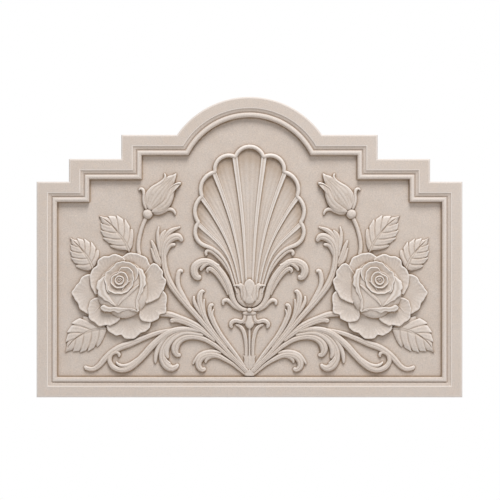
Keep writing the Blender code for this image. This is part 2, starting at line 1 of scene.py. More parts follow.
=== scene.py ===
"""Dresses the tympanum panel: the moulded slab and its carving as fine surfaces, in one pale stone.

The carving is laid out on the same cartoon squares as the solid: x counts squares from the axis, z
counts squares from the foot, and a height is metres above the sunk field. The right half is drawn
and the left is its mirror image. Every form is a closed surface rooted in the slab.
"""

import math

import bpy
import numpy as np
from bpy.props import FloatProperty
from bpy.props import FloatVectorProperty
from bpy.props import PointerProperty
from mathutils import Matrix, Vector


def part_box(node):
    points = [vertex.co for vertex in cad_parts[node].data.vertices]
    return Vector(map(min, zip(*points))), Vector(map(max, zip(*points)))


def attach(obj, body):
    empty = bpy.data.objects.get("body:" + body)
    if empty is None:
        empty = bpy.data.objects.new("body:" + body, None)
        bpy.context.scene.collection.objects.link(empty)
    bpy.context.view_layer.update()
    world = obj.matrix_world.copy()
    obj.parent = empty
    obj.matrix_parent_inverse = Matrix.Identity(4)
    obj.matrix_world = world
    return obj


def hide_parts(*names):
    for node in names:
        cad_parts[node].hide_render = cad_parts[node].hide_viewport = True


bl_info = {
    "name": "Carved Tympanum Panel",
    "version": (1, 0, 0),
    "blender": (4, 5, 0),
    "location": "3D View > Sidebar > Tympanum",
    "description": "Fine carving, moulded frame and stone finish for a tympanum panel",
    "category": "Add Mesh",
}

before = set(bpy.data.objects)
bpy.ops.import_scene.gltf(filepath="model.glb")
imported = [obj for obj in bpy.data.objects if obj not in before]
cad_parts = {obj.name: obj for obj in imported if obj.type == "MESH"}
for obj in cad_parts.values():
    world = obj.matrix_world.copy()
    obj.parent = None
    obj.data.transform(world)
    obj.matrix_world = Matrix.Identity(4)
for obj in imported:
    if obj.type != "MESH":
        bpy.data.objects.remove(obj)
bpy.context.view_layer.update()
NODE = "tympanum_panel"
NODE_LOW, NODE_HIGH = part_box(NODE)
PANEL_WIDTH = NODE_HIGH.x - NODE_LOW.x
PANEL_HEIGHT = NODE_HIGH.z - NODE_LOW.z
FOOT_Z = NODE_LOW.z

# The cartoon's squares fill the panel inside an inset from its edges: how many across and up, the one
# on the lower inset line, and the inset in metres
SQUARES_WIDE = 385.0
SQUARES_HIGH = 259.6
SQUARES_BELOW = 20.5
CARTOON_INSET = 0.0578

# The cove falls in two steps with a narrow flat between: share of its width, share of its depth, painted
# shade
COVE_STEPS = ((0.10, 0.24, 0.22), (0.24, 0.40, 0.32), (0.38, 0.46, 0.12), (0.56, 0.54, 0.05),
              (0.72, 0.66, 0.25), (0.84, 0.88, 0.45), (0.95, 1.0, 0.50))
# Frame, in metres: width of the fillet's edge band, how far the roll's top lies behind the fillet,
# and how far the slab runs on behind the ground; then the painted highlights on the arris and on that edge
EDGE_WIDTH = 0.0010
ROLL_BELOW = 0.001
SLAB_LAP = 0.0008
ARRIS_HIGHLIGHT = -0.55
EDGE_HIGHLIGHT = -0.75

# How the carving is sampled: depth of its roots in metres, samples in a span, rows that close an end,
# and the spacing of rows and of a lip's places in squares
ROOT_DEPTH = 0.003
SPAN_SAMPLES = 12
END_ROWS = 5
ROW_SPACING = 1.4
LIP_SPACING = 1.0

# How the slab, the ground and the map of heights are sampled, in metres, and the arch in segments
RUN_SPACING = 0.016
GROUND_CELL = 0.0032
GROUND_LAP = 0.008
ARCH_SEGMENTS = 72
MAP_CELL = 0.0014
MAP_MARGIN = 0.03
# The chisel's long waves and its fine unevenness on the ground, in metres, and the shade painted over the
# whole field
GROUND_WAVE = 0.00018
CHISEL_MARKS = 0.00005
CHISEL_SEED = 5
GROUND_SHADE = 0.10

# Painted shade by three blurs of the map, as occlusion, read a little above each place so that the
# undersides of forms take a painted shadow from above: width in cells, the depth in metres that
# counts in full, how far up the map is read, and weight; then the weight of a cut's painted shade on
# the carving and on the slab
MAP_BLURS = ((1.3, 0.0032, 0.0007, 0.92), (3.2, 0.009, 0.002, 0.40), (9.0, 0.018, 0.004, 0.29))
CUT_WEIGHT = 0.55
SLAB_CUT_WEIGHT = 0.58
# Painted highlights on crests by the first two blurs: the height, as a share of the depth above, from
# which they count, the weight of the second, and the painted light that every carved face has
NEAR_CREST = 0.08
MIDDLE_CREST = 0.06
MIDDLE_CREST_WEIGHT = 0.6
CARVED_CREST = 0.10

# Creases between the flutes of a strand: how deep, as a share of its body, and their painted shade
FLUTE_CREASE = 0.16
FLUTE_SHADE = 0.48

# Rings of a plate and of a cup: squares in from the edge, then shares of what is left to the middle
PLATE_NEAR = (0.0, 0.15, 0.4, 0.75, 1.2, 1.8, 2.6, 3.6)
PLATE_FAR = (0.12, 0.26, 0.42, 0.58, 0.74, 0.88)
CUP_NEAR = (0.5, 0.25, 0.0, 0.12, 0.3, 0.5, 0.8, 1.1, 1.5, 2.0, 2.6)
CUP_FAR = (0.12, 0.25, 0.4, 0.55, 0.7, 0.85)

# Stems, scrolls and lobes: share of the scroll relief, how many flutes, places (x, z, half-width)
SCROLLS = (
    (0.85, 2, (
        (3.5, 22, 1.2), (10, 27.5, 1.5), (17, 33.2, 1.8), (25, 38, 2.2), (33, 41.8, 2.8),
        (41, 42.2, 3.2), (47.5, 40, 3.6), (51, 35, 3.5), (50.5, 30, 3), (47, 27.3, 2.4), (43.8, 29, 2))),
    (0.65, 1, ((28, 44, 1.2), (34, 45.4, 1.7), (41, 45.5, 2), (49, 42.8, 2), (54, 37.5, 1.7),
               (57, 32.8, 0.8))),
    (0.70, 1, ((30, 41, 1.5), (38, 41, 2.2), (43, 38, 2.1), (44.3, 34, 1.1))),
    (0.80, 1, ((70, 66.5, 1.5), (82, 61.5, 2), (89, 53.5, 2.4), (93, 45, 2.4), (94.3, 38, 1.9),
               (94.2, 33.8, 1))),
    (0.70, 2, (
        (70, 68.5, 1.5), (84, 66.2, 1.9), (95, 63.3, 2.3), (108, 58.3, 2.7), (120, 53.3, 3.2),
        (130, 49.7, 3.3), (139, 44, 3.2), (145.5, 37.8, 3), (151, 31.5, 2.6), (157, 28, 2.3),
        (163.5, 29, 2.2), (165, 31.5, 1.4))),
    (0.95, 2, (
        (56, 66.6, 1.8), (70, 64.3, 2.2), (78, 60, 2.6), (84, 53.5, 3), (87.3, 46, 3.4), (87, 38, 3.8),
        (83, 31.5, 4.2), (77.5, 28.8, 3.4), (73, 31, 2.4), (72.5, 33.5, 1.6))),
    (0.92, 1, ((86, 41, 1.5), (83, 36.5, 1.2), (79, 33.3, 0.7))),
    (0.90, 1, ((46, 62, 1.6), (62, 64.3, 2.2), (71, 62, 2.5), (78, 57, 2.8), (82.5, 50.5, 3),
               (83.5, 44, 2.8), (81.5, 38.5, 1.3))),
    (0.95, 3, (
        (48, 66, 2), (62, 68, 2.6), (73, 67.2, 3), (83, 63.3, 3.4), (91, 57.3, 3.4), (98.5, 50.5, 3.4),
        (106, 42, 3.3), (113.5, 34.5, 3.2), (121, 29, 3.1), (129, 27.2, 2.8), (136.5, 30, 2.6),
        (140.3, 36, 2.4), (138.8, 42.3, 2.1), (134, 45, 1.9), (130.7, 42.8, 1.7), (131.3, 40, 1.2))),
    (0.80, 1, ((110, 40, 1.4), (119, 33.5, 1.8), (126, 31.3, 1.8), (131, 32.5, 1.5),
               (134, 35.5, 0.7))),
    (1.00, 2, (
        (2.6, 24.2, 1.6), (7.6, 29.2, 1.8), (14, 35.5, 1.8), (24, 43.5, 2), (34, 51.5, 2.3), (45, 57.8, 2.5),
        (56, 60.3, 2.7), (65, 59.5, 3.2), (71.5, 55.5, 3.8), (74.5, 50, 4.2), (74.3, 45, 3.4),
        (71.5, 42, 2.4), (69, 43.2, 1.8))),
    (0.85, 2, (
        (4, 29, 1.5), (12, 40, 2), (20, 50.5, 2.2), (28, 61, 2.4), (34, 71, 2.6), (38, 80, 2.8),
        (40, 87, 2.4), (38.8, 92, 2), (35.8, 92.2, 1.4))),
    (0.80, 1, ((36.5, 78, 1.2), (37.3, 84, 1.2), (36, 88.3, 0.6))),
    (0.85, 2, (
        (34, 56, 1.8), (45, 64.5, 2.5), (55, 70.5, 2.7), (65, 75, 2.6), (74, 77.2, 2.5),
        (80, 76, 2.6))),
    (0.85, 2, ((38, 60, 1.6), (50, 70, 2.3), (60, 75.5, 2.6), (70, 79.5, 2.8), (80, 82.8, 3),
               (92, 84, 3.2))),
    (0.75, 1, ((44, 80, 1.2), (46, 90, 1.6), (45.5, 98.5, 0.8))),
    (0.75, 1, ((44, 76, 1.4), (46, 80, 1.8), (52, 89, 2.2), (55.5, 96, 1.8), (55.7, 101.5, 0.9))),
    (0.90, 2, (
        (22, 49, 1.4), (35, 64, 2), (42.5, 75, 2.5), (47, 85, 3), (49.5, 94, 3.2), (50, 101, 3),
        (47.5, 106, 2.2), (45, 105, 1.2))),
    (0.80, 1, ((58, 89, 1), (67, 102, 2.4), (71.5, 112, 2.4), (72, 120, 2.4), (70, 126.5, 2.2),
               (66.5, 125.5, 1.4))),
    (0.65, 1, ((89, 130, 2), (94.4, 138, 2.2), (97, 145, 1.6), (98.7, 149.6, 0.7))),
    (0.70, 2, ((88.5, 132, 2.4), (92, 140, 2.6), (95.5, 150, 2.3), (98.5, 157.3, 0.9))),
    (0.75, 1, ((89.5, 146, 2.2), (91.2, 156, 2.4), (92, 164, 1.7), (90.8, 171.1, 0.8))),
    (0.78, 2, ((88.5, 140, 2.4), (89.2, 154, 3), (87.5, 162, 2.6), (83.9, 167.6, 0.9))),
    (0.80, 2, ((87.5, 144, 1.8), (87, 152, 2.6), (84, 161, 2.8), (78, 167, 2.4), (69.1, 170.6, 0.8))),
    (0.80, 1, ((86, 138, 1.8), (84, 146, 2.5), (80, 152, 2.4), (74, 153, 1.4))),
    (1.00, 2, (
        (1.6, 25.0, 2.0), (6.5, 30.2, 2.2), (16, 39.5, 2.2), (28, 52.5, 2.4), (40, 66.5, 2.6),
        (52, 80.5, 2.8), (63, 92.5, 3), (73, 104.5, 3.2), (80, 115, 3.4), (84.5, 127, 3.2),
        (86, 138, 3), (86, 147, 3.4), (83, 155, 4), (77, 160, 4), (71, 160.5, 3.4), (67, 156, 1.6))),
    (0.92, 2, ((20.8, 102, 1.5), (22.6, 107, 1.8), (28.4, 117.6, 2.3), (34.2, 125.2, 2.6),
               (39.2, 128.6, 2.8), (42.2, 127.2, 2.0), (41.3, 124.6, 1.0))),
    (1.02, 1, ((30, 131, 1.6), (37.6, 134.6, 2.0), (43.6, 133.2, 2.2), (47.6, 129.8, 2.0),
               (49.2, 126.4, 1.2))),
    (0.80, 1, (
        (15.5, 113, 1.4), (19.6, 124, 1.7), (26.6, 135, 1.8), (33.4, 142.2, 1.8), (38.6, 146.2, 1.9),
        (42.4, 146.6, 1.9), (43.8, 144, 1.7), (42.4, 142, 1.5))),
    (1.10, 3, (
        (0.6, 87.3, 1.5), (3.6, 87.4, 2.0), (8, 88.5, 2.2), (13, 92.5, 2.4), (16.5, 98, 2.7), (18.5, 104, 3),
        (21, 112, 3.2), (25.4, 120.6, 3.2), (31.6, 128.8, 3.2), (39, 134.6, 3.4), (47, 135.4, 3.9),
        (53.8, 131.6, 4.2), (55.4, 125.4, 4.0), (52.4, 120.2, 3.3), (48.2, 120.8, 2.4))),
    (0.75, 1, ((8, 87, 1.7), (14.5, 90.5, 2), (19, 95, 2.2), (22.9, 97.3, 2.1), (26.3, 95.8, 1.9),
               (26.3, 92, 1.2))),
    (0.60, 2, ((3.0, 31, 1.4), (3.6, 36.5, 1.8), (3.3, 42, 1.7), (3.3, 50, 1.8), (4.0, 58, 2),
               (6.2, 66.5, 2.1), (10, 71.2, 1.7), (14.2, 72.8, 1.1))),
    (0.46, 1, ((3.6, 36.5, 1.0), (5.8, 41.8, 0.7))),
    (0.80, 2, ((4.6, 82.6, 1.3), (5.0, 79, 1.7), (6.4, 76.2, 1.9), (9.2, 75.4, 2.1), (12.2, 76.4, 2.2),
               (15.6, 76.3, 2.3), (18.5, 73.9, 2.2), (18.4, 70.8, 1.9), (16.6, 69.7, 1.2))),
)

# Shell: where the scalloped rim is pinched in, how far each lobe bulges, and the ribs
RIM_NOTCHES = ((-14, 240.5), (14, 240.5), (34.5, 225.5), (47.5, 201), (51, 175), (45, 152))
RIM_BULGES = (10.5, 8.0, 6.6, 5.4, 6.2)
RIM_HALF_WIDTH = 2.15
RIM_STEP = 0.8
RIM_REACH = 1.3
RIM_PLACES = 24
RIB_WIDTHS = (0.8, 3.0)
RIBS = (
    ((2.4, 106), (3.2, 117), (4.5, 140), (6, 165), (9.3, 200), (14, 240.5)),
    ((5.4, 105), (7, 115), (10.5, 140), (15, 162), (20, 182), (27, 205), (34.5, 225.5)),
    ((7.8, 104), (10, 114), (15, 135), (21, 152), (28, 168), (38, 187), (47.5, 201)),
    ((10.0, 104), (12.5, 113), (17, 128), (22, 141), (30, 153), (40, 164), (51, 175)),
    ((12.2, 104), (15, 112), (21, 130), (28, 141), (36, 148), (45, 152)),
)
# Where the shell's columns stand beside a rib, in half-widths of the rib, how many lie between, how
# many rows it has, and how many ripples cross a channel
RIB_BESIDE = (0.0, 0.35, 0.75, 0.9, 1.05, 1.2, 1.5)
CHANNEL_COLUMNS = 17
FAN_ROWS = 56
RIPPLES = 5
# The most of a gap that half a rib takes, and shares of the relief: the ribs' level, then how deep the
# channels, the spoons under the rim, both at most, the ripples and the line along a rib are cut
RIB_LIMIT = 0.28
RIB_LEVEL = 0.84
CHANNEL_CUT = 0.56
SPOON_CUT = 0.30
DEEPEST_CUT = 0.78
RIPPLE_CUT = 0.03
RIB_LINE_CUT = 0.07

# Tulip bud and its petals, bead, collar, pendant, tongue and foot on the axis: right halves, top to
# bottom. A lip and a side petal stand on each side.
TULIP_BODY = ((0, 112.6), (5.4, 111.6), (11.4, 110.6), (14.2, 109.2), (14.0, 104), (13.2, 99.6),
              (11.4, 95.4), (8, 92.3), (3.8, 90.4), (0, 89.9))
TULIP_SIDE = ((0.6, 112), (4.6, 113.2), (6.2, 112.6), (7.6, 113.7), (9.6, 114.2), (11.4, 113.2),
              (11.6, 111.2), (9.9, 108.6), (9.0, 105), (8.8, 101.5), (7.4, 98), (4.4, 95.4), (1, 95))
TULIP_PETAL = ((0, 118.4), (3, 116.8), (5.0, 113.8), (4.3, 109.5), (3.3, 104.5), (2.7, 101.5),
               (3.8, 98.4), (4.4, 96.2), (3.6, 94.6), (1.8, 93.8), (0, 93.6))
TULIP_CREASES = (((8.2, 98), (8.9, 102), (9.2, 105), (10.3, 108.8), (12.2, 110.2), (14.2, 109)),
                 ((2.2, 91), (4.6, 93.6), (5.4, 96.4)))
SIDE_CREASES = (((6.6, 111), (6.9, 107), (6.4, 103), (7.0, 99)),)
TULIP_LIP = ((9.2, 107.6, 0.6), (9.8, 111.2, 1.5), (12.0, 112.0, 1.4), (14.4, 111.9, 1.1),
             (16.4, 112.0, 1.6))
BEAD = ((0, 89.4), (1.7, 88.9), (2.3, 87.6), (1.8, 86.3), (0, 85.6))
COLLAR = ((0, 87.2), (2.8, 86.6), (4.4, 85.8), (6.6, 85.0), (6.9, 83.4), (5.0, 82.4), (2.4, 82.4), (0, 82.4))
SKIRT = ((0, 86), (4.6, 85.4), (6.2, 83), (6.4, 79), (7.6, 76), (6.4, 73.4), (3, 73.8), (0, 74))
PENDANT = ((0, 82.4), (2.0, 81.9), (2.7, 79), (3.5, 76), (4.4, 73.2), (3.0, 70.2), (0, 68.2))
TONGUE = ((0, 42.4), (1.6, 41.4), (3.8, 38.8), (5.6, 35.6), (4.6, 30.8), (0, 26.6))
FOOT = ((0, 28.2), (1.4, 26.7), (4.3, 23.9), (4.7, 22.6), (4.0, 21.4), (0, 21.2))
AXIS_RIB = ((0, 28, 0.8), (0, 34, 1.6), (0, 39.5, 1.5), (0, 43, 1.1), (0, 55, 1.2), (0, 69, 1.2))
# Plates on the axis over the tulip's body: outline, samples in a span, height of the middle, then the
# calyx's share and the pendant's share of relief, crown, share at the edge and rounding
AXIS_PLATES = (
    (TULIP_PETAL, 7, 101.5, 0.90, 0.0, 1.10, 0.80, 2.8),
    (BEAD, 5, 87.6, 0.95, 0.0, 1.05, 0.60, 1.2),
    (SKIRT, 5, 80.0, 0.0, 0.56, 1.00, 0.50, 1.2),
    (COLLAR, 5, 84.6, 0.50, 0.0, 1.08, 0.30, 2.2),
    (PENDANT, 7, 74.5, 0.0, 0.96, 1.10, 0.50, 2.6),
    (TONGUE, 6, 35.0, 0.0, 0.52, 1.05, 0.60, 2.2),
    (FOOT, 6, 24.4, 0.0, 0.74, 1.00, 0.70, 1.6),
)

# Rose: outer petals from the lowest to the highest: lip, the point it grows from, share of relief
PETALS = (
    (0.36, (122, 92), (
        (98.7, 76), (98.7, 73.9), (100.1, 69.7), (104.3, 65.5), (108.5, 64.8), (112.7, 60.6),
        (119, 58.1), (124.6, 59.2), (128.8, 62), (133.7, 62), (138.6, 64.1), (142.1, 67.6),
        (143.2, 71.1))),
    (0.38, (140, 104), (
        (157, 124), (159, 123), (163.9, 122.7), (168.8, 118.8), (171.6, 113.9), (175.8, 109),
        (177.9, 104.8), (175.8, 99.2), (172.3, 95), (170.9, 90.1), (167.4, 86.5), (162.5, 83.7),
        (156, 83))),
    (0.42, (119, 112), (
        (127.4, 140.6), (123.2, 143.4), (117.6, 144.8), (110.6, 143), (105.7, 141.3), (101.5, 137.1),
        (99.7, 131.4), (98.7, 124.4), (100.1, 117.4), (102.5, 112.5))),
    (0.45, (108, 96), (
        (89, 107), (86, 106.2), (83.2, 102), (82.5, 97.8), (83.6, 92.9), (82.9, 88.6), (84.6, 84.4),
        (89.5, 82.3), (91.6, 78.8), (95.8, 76), (101.5, 75.3), (106.4, 76), (109.9, 79.5),
        (110.6, 82.3))),
    (0.46, (135, 96), (
        (151, 100), (154.8, 99.2), (159, 97.1), (160.4, 92.9), (162.1, 88.6), (161.1, 83.7),
        (161.1, 79.5), (156.9, 76), (152.7, 72.5), (148.5, 71.1), (142.8, 72.2), (138.6, 71.8),
        (133.7, 74.6), (129.5, 78.1))),
    (0.48, (134, 112), (
        (124, 138), (127.4, 140.6), (131.6, 142.7), (137.2, 143), (142.1, 140.9), (147.1, 140.9),
        (151.3, 137.1), (153.4, 131.4), (158.3, 126.5), (159.7, 120.9), (159.7, 115.3),
        (157.6, 108.3), (154.1, 102.7))),
    (0.53, (112, 112), (
        (98.7, 132.8), (95.8, 134.3), (91.6, 132.1), (87.4, 127.2), (86.4, 121.6), (83.9, 117.4),
        (83.9, 112.5), (86.7, 106.9), (89.5, 101.3), (94.4, 97.1), (100.1, 95), (103.2, 93.6))),
)
ROSE_BOWL = (
    (101.8, 104), (103.6, 94.3), (109.9, 85.8), (117.6, 80.9), (124.6, 79.2), (131.6, 80.2),
    (138.6, 84.4), (149, 93), (152.6, 106), (150, 118), (143, 127), (131.6, 135), (116, 134),
    (104, 122))
# Folded lips of the bowl: share of relief, tilt to the inner edge, outer edge, inner edge
ROSE_LIPS = (
    (0.76, 0.03, (
        (112.3, 129.8), (107.5, 128.1), (105.2, 124), (103.7, 118.5), (103.8, 112.9), (106.0, 108.4),
        (107.1, 104.7), (109.8, 100.1), (111.0, 95.5), (110.7, 90), (110.3, 86.4)), (
        (112.9, 129.0), (110.6, 124), (109.6, 118.5), (109.6, 113), (110.6, 106.5), (112.7, 100.1),
        (113.6, 95.5), (113.4, 90), (111.8, 86.2))),
    (0.77, -0.02, (
        (144, 121.9), (148.8, 118.7), (151.6, 115.7), (152.9, 112), (152.5, 109.3), (151.4, 107.2),
        (151.8, 105.2), (150.2, 101.9), (146.1, 98.3), (140.5, 95.1), (134.1, 91.5)), (
        (144.2, 117.5), (144.2, 113.9), (143.1, 111.1), (143.1, 108.4), (141.9, 104.7), (139.6, 101),
        (136.9, 96.9), (133.2, 92.3))),
    (0.75, 0.03, (
        (111.6, 85.2), (114.6, 86.0), (120.4, 87.5), (125, 87), (128.6, 85), (132.3, 84.7), (136.9, 86.2),
        (140.5, 85.6), (145.1, 86.2), (148.2, 88), (148.9, 90)), (
        (111.2, 86.2), (115.8, 88.7), (122.2, 89.5), (128.6, 90), (134.1, 90.7), (138.7, 90.3),
        (142.4, 91.2), (145.1, 92.6), (147.9, 91.6))),
)
# The petal that fills the bowl below the cups
ROSE_HEART = (
    (110.4, 116), (110.8, 108), (112.8, 99), (113.2, 91), (112.4, 87.6), (118, 88.4), (126, 89.4),
    (133.6, 90.8), (138, 96.6), (142, 103.6), (143.6, 110), (138, 120), (124, 126), (114, 124))
# Cups round the heart, each inside the last: share of relief, how deep inside, over how many squares
# it falls, middle, then places (x, z, share of the lip, 0 where it sinks into the cup below)
ROSE_CUPS = (
    (0.84, 0.17, 7.0, (128, 118), (
        (112.7, 130, 1), (117.6, 134.2, 1), (124.6, 136, 1), (131.6, 135, 1), (135.8, 131.4, 1),
        (138.6, 128.2, 1), (142.6, 125.7, 1), (144.6, 120.9, 1), (144.5, 115.3, 1), (142.9, 111.2, 1),
        (143.1, 107.6, 1), (140.6, 105, 0.8), (136.6, 103.4, 0.4), (131.6, 102.6, 0.3),
        (126, 104, 0.3), (121.8, 107, 0.3), (117.8, 111.4, 0.4), (114.4, 116.4, 0.5),
        (111.4, 121, 0.8), (111, 126, 1))),
    (0.89, 0.17, 5.0, (128.5, 116.5), (
        (131.2, 126.2, 0.5), (128.6, 129.6, 1), (124.6, 130.7, 1), (120, 129.6, 1), (116.8, 126.4, 1),
        (115.4, 121, 1), (115.6, 116, 1), (117.3, 110.8, 1), (119.8, 107.6, 1), (123.2, 104.9, 1),
        (127, 103.8, 1), (132, 103.5, 1), (136.6, 104.5, 1), (140.4, 106.6, 0.9), (141.8, 110, 0.4),
        (142, 114, 0.1), (140.6, 120, 0), (136, 124.6, 0))),
    (0.94, 0.15, 3.2, (129.6, 117.2), (
        (120.8, 117.2, 1), (121.9, 121.8, 1), (124.7, 124.9, 1), (128.4, 126, 1), (131.6, 124.2, 0.8),
        (135.2, 122.5, 1), (138, 119.3, 1), (138.3, 114.6, 1), (135.6, 111, 1), (131.6, 109.2, 1),
        (127.6, 109.5, 1), (124.3, 111.2, 0.8), (121.8, 113.8, 0.8))),
    (0.99, 0.13, 2.2, (129.8, 117.1), (
        (124.9, 117.3, 1), (126, 120.5, 1), (129.5, 121.9, 1), (133.2, 120.4, 1), (134.4, 117.2, 1),
        (133.2, 114, 1), (130.2, 112.6, 1), (126.6, 113.8, 1))),
)
# Thin folds: share of relief, places (x, z, half-width)
ROSE_FOLDS = (
    (0.81, ((110.2, 113.0, 0.5), (113.4, 110.2, 1.2), (118.4, 105.8, 1.8), (123.7, 100.8, 1.8),
            (127.9, 96.8, 1.3), (131.3, 92.2, 0.5))),
    (0.87, ((119.0, 116.8, 0.4), (121.8, 114.8, 0.8), (125.0, 111.4, 0.8), (127.4, 106.6, 0.4))),
)
# The coil in the eye: middle, first and last radius, turns, share of relief, half-widths at its ends
ROSE_EYE = (129.8, 117.2)
ROSE_EYE_TURN = (2.3, 0.6, 1.4)
ROSE_EYE_SHARE = 0.96
ROSE_EYE_WIDTHS = (0.55, 0.6)
# How upright a folded lip's sides are, as a share of its height. Ruffles of petals, folded lips and
# cups: swing (for a cup as a share of its fall) and length, in squares; then the fine waves of a
# petal's edge, in metres, and how many go round it
LIP_RISE = 0.88
PETAL_RUFFLE = (0.35, 9.5)
LIP_RUFFLE = (0.4, 7.5)
CUP_RUFFLE = (0.045, 7.0)
PETAL_WAVE = 0.00022
PETAL_WAVES = 15

# Rosebud: outlines with a share of relief, then its creases, the fine ones' ends and how far each
# swings out, its sepals, ball and stem
ROSEBUD_PLATES = (
    (0.88, ((73.2, 223.7), (77, 222.6), (82.7, 220.5), (89.2, 214), (97.4, 210.7), (102.8, 205.3),
            (104.4, 199.9), (103.9, 193.4), (100.6, 187.9), (93, 188.4), (84, 194), (78, 206),
            (75.6, 214))),
    (0.99, ((68.6, 214.2), (75.1, 212.9), (81.1, 209.1), (83.8, 203.7), (85.4, 197.2), (90.9, 191.2),
            (97.9, 186.9), (96.3, 184.7), (88.7, 185.2), (83.3, 188), (78.9, 192.8), (76.2, 199.9),
            (74.6, 208), (71.3, 211.3))),
)
ROSEBUD_CREASES = (((87.6, 202), (90.9, 193.4), (97.9, 189)),
                   ((97.9, 203.1), (100.6, 198.6), (102.2, 194.5)),
                   ((76, 221), (79, 216.6), (82, 213.6)),
                   ((78.5, 219.6), (83, 215.4), (87, 211.6)))
ROSEBUD_FLOW = ((101, 187), (76, 221))
ROSEBUD_FLOW_SWING = 0.36
ROSEBUD_FLOW_SHARES = (-0.85, -0.6, -0.35, -0.1, 0.15, 0.4, 0.65, 0.9)
ROSEBUD_SEPALS = (
    (1.04, ((68.6, 214.4, 1.3), (71.4, 214.2, 1.1), (75.6, 212.6, 0.9), (80.6, 208.8, 0.9),
            (83.2, 203.4, 0.8), (85, 197, 0.8), (90.6, 190.8, 0.7), (97.0, 187.2, 0.6))),
    (0.72, ((104.2, 192, 1.2), (103.8, 200.5, 1.5), (101.4, 205.6, 1.7), (96.6, 210.2, 1.8),
            (90.4, 213.8, 1.8), (86, 217.4, 1.6), (84.4, 221, 1.3), (85.2, 224.3, 0.7))),
    (0.66, ((103, 188, 1.4), (105.2, 193.4, 1.8), (106, 198.8, 1.8), (105.8, 204, 1.7),
            (107, 208, 1.7), (109.6, 208.8, 1.3), (111.2, 207.2, 0.7))),
    (0.66, ((97, 184.6, 1.4), (91.4, 184.8, 2.2), (86.5, 186.6, 2.5), (81.6, 188.4, 2.0),
            (77.2, 187.6, 1.7), (74.9, 185, 1.3), (74.5, 182.5, 0.7))),
)
ROSEBUD_BALL = (102.0, 183.4)
ROSEBUD_BALL_RADIUS = 5.0
ROSEBUD_STEM = ((103.6, 180, 2.0), (107.5, 171, 2.0), (110.5, 160, 2.0), (111.5, 150, 2.1),
                (110.2, 140, 2.1))

# Leaves: midrib, left edge and right edge, all from base to tip
LEAVES = (
    (((120.4, 145.4), (123.4, 153.1), (126.6, 158.4), (130.9, 163.8), (135.2, 169.2), (140.5, 174.5),
      (150.8, 181.8)),
     ((120.2, 145.6), (117.6, 151.6), (117, 157.5), (117.2, 162.9), (119, 169), (122.3, 173.8),
      (126.6, 178), (131.9, 180.6), (137.4, 181.2), (143.0, 180.2), (146.6, 180.6), (150.8, 181.8)),
     ((121.2, 145.6), (124.5, 147.6), (130, 147.8), (136, 150.2), (140.6, 153.8), (145, 158.8),
      (147.4, 164), (148.4, 169.5), (148.3, 174.8), (149.2, 178.6), (150.8, 181.8))),
    (((156.8, 128.6), (160.3, 137), (165, 144), (171, 151), (180.0, 159.8)),
     ((156.2, 129), (153, 135.5), (151.6, 141.5), (153.2, 148), (158.4, 153.8), (164.8, 157.2),
      (171, 158.2), (175.2, 157.6), (180.0, 159.8)),
     ((157.6, 128.2), (160.5, 126.8), (164, 127), (170.8, 130), (176, 135.6), (178.6, 143),
      (178.8, 150), (178.6, 155.2), (180.0, 159.8))),
    (((143, 69), (150, 68.7), (157, 67.2), (163, 65.2), (170, 61.8), (176, 57.6), (181, 52.2),
      (185.0, 44.6)),
     ((143, 69.6), (150, 74.5), (158.6, 78), (165.3, 79.6), (171.5, 78.6), (177.6, 73), (181.4, 66),
      (183.2, 58), (183.4, 51), (185.0, 44.6)),
     ((143, 68.2), (145.2, 62.3), (148, 57), (152, 52.2), (157.3, 48.8), (162.5, 47), (169.3, 46),
      (176, 46.6), (180, 46.6), (185.0, 44.6))),
)
# Where the lobes end on a leaf's edges and where their veins start on its midrib, as shares of them,
# then the rows of a lobe, the columns from midrib to edge, and tooth, notch and bend in squares, with
# the tooth's growth outward and forward
LEAF_NOTCHES = (0.0, 0.41, 0.575, 0.715, 0.85, 1.0)
LEAF_VEINS = (0.0, 0.15, 0.30, 0.465, 0.65, 1.0)
LOBE_ROWS = 24
LEAF_COLUMNS = (0.03, 0.07, 0.12, 0.18, 0.26, 0.35, 0.45, 0.56, 0.67, 0.77, 0.86, 0.93, 0.97, 1.0)
LEAF_TOOTH = 2.7
LEAF_NOTCH = 2.2
VEIN_BEND = 1.5
TOOTH_OUT = 0.8
TOOTH_FORWARD = 0.5
# Cuts in a leaf: between its lobes as a share of its level, then in its flutes, along its veins and
# beside the midrib as shares of its relief; the midrib's rise near the base and cut near the tip; and
# how far its back is drawn in, as a share of its breadth
LOBE_CUT = 0.16
LEAF_FLUTE_CUT = 0.06
VEIN_CUT = 0.06
MIDRIB_DROP = 0.28
MIDRIB_RISE = 0.24
MIDRIB_CUT = 0.10
LEAF_TUCK = 0.06

# Stone: scale of clouds, mottle, grain and flecks; what clouds and mottle add to the pinker tint round
# its middle; what grain, mottle and flecks add to its lightness; the painted shade and dust in the
# hollows, how mottle varies it, and the painted highlight on the crests
CLOUD_SCALE = 9.0
MOTTLE_SCALE = 70.0
GRAIN_SCALE = 300.0
FLECK_SCALE = 260.0
TINT_MIDDLE = 0.4
CLOUD_TINT = 1.1
MOTTLE_TINT = 1.3
GRAIN_LIGHT = 0.60
MOTTLE_LIGHT = 0.20
FLECK_LIGHT = 0.05
FLECK_REACH = 0.30
SHADE_AND_DUST = 0.85
SHADE_AND_DUST_MOTTLE = 0.5
PAINTED_HIGHLIGHT = 0.9
# Roughness, what mottle and dust add to it, then the fine relief's strength and depth in metres
ROUGHNESS = 0.80
MOTTLE_ROUGHNESS = 0.12
DUST_ROUGHNESS = 0.08
BUMP_STRENGTH = 0.32
BUMP_DEPTH = 0.0006

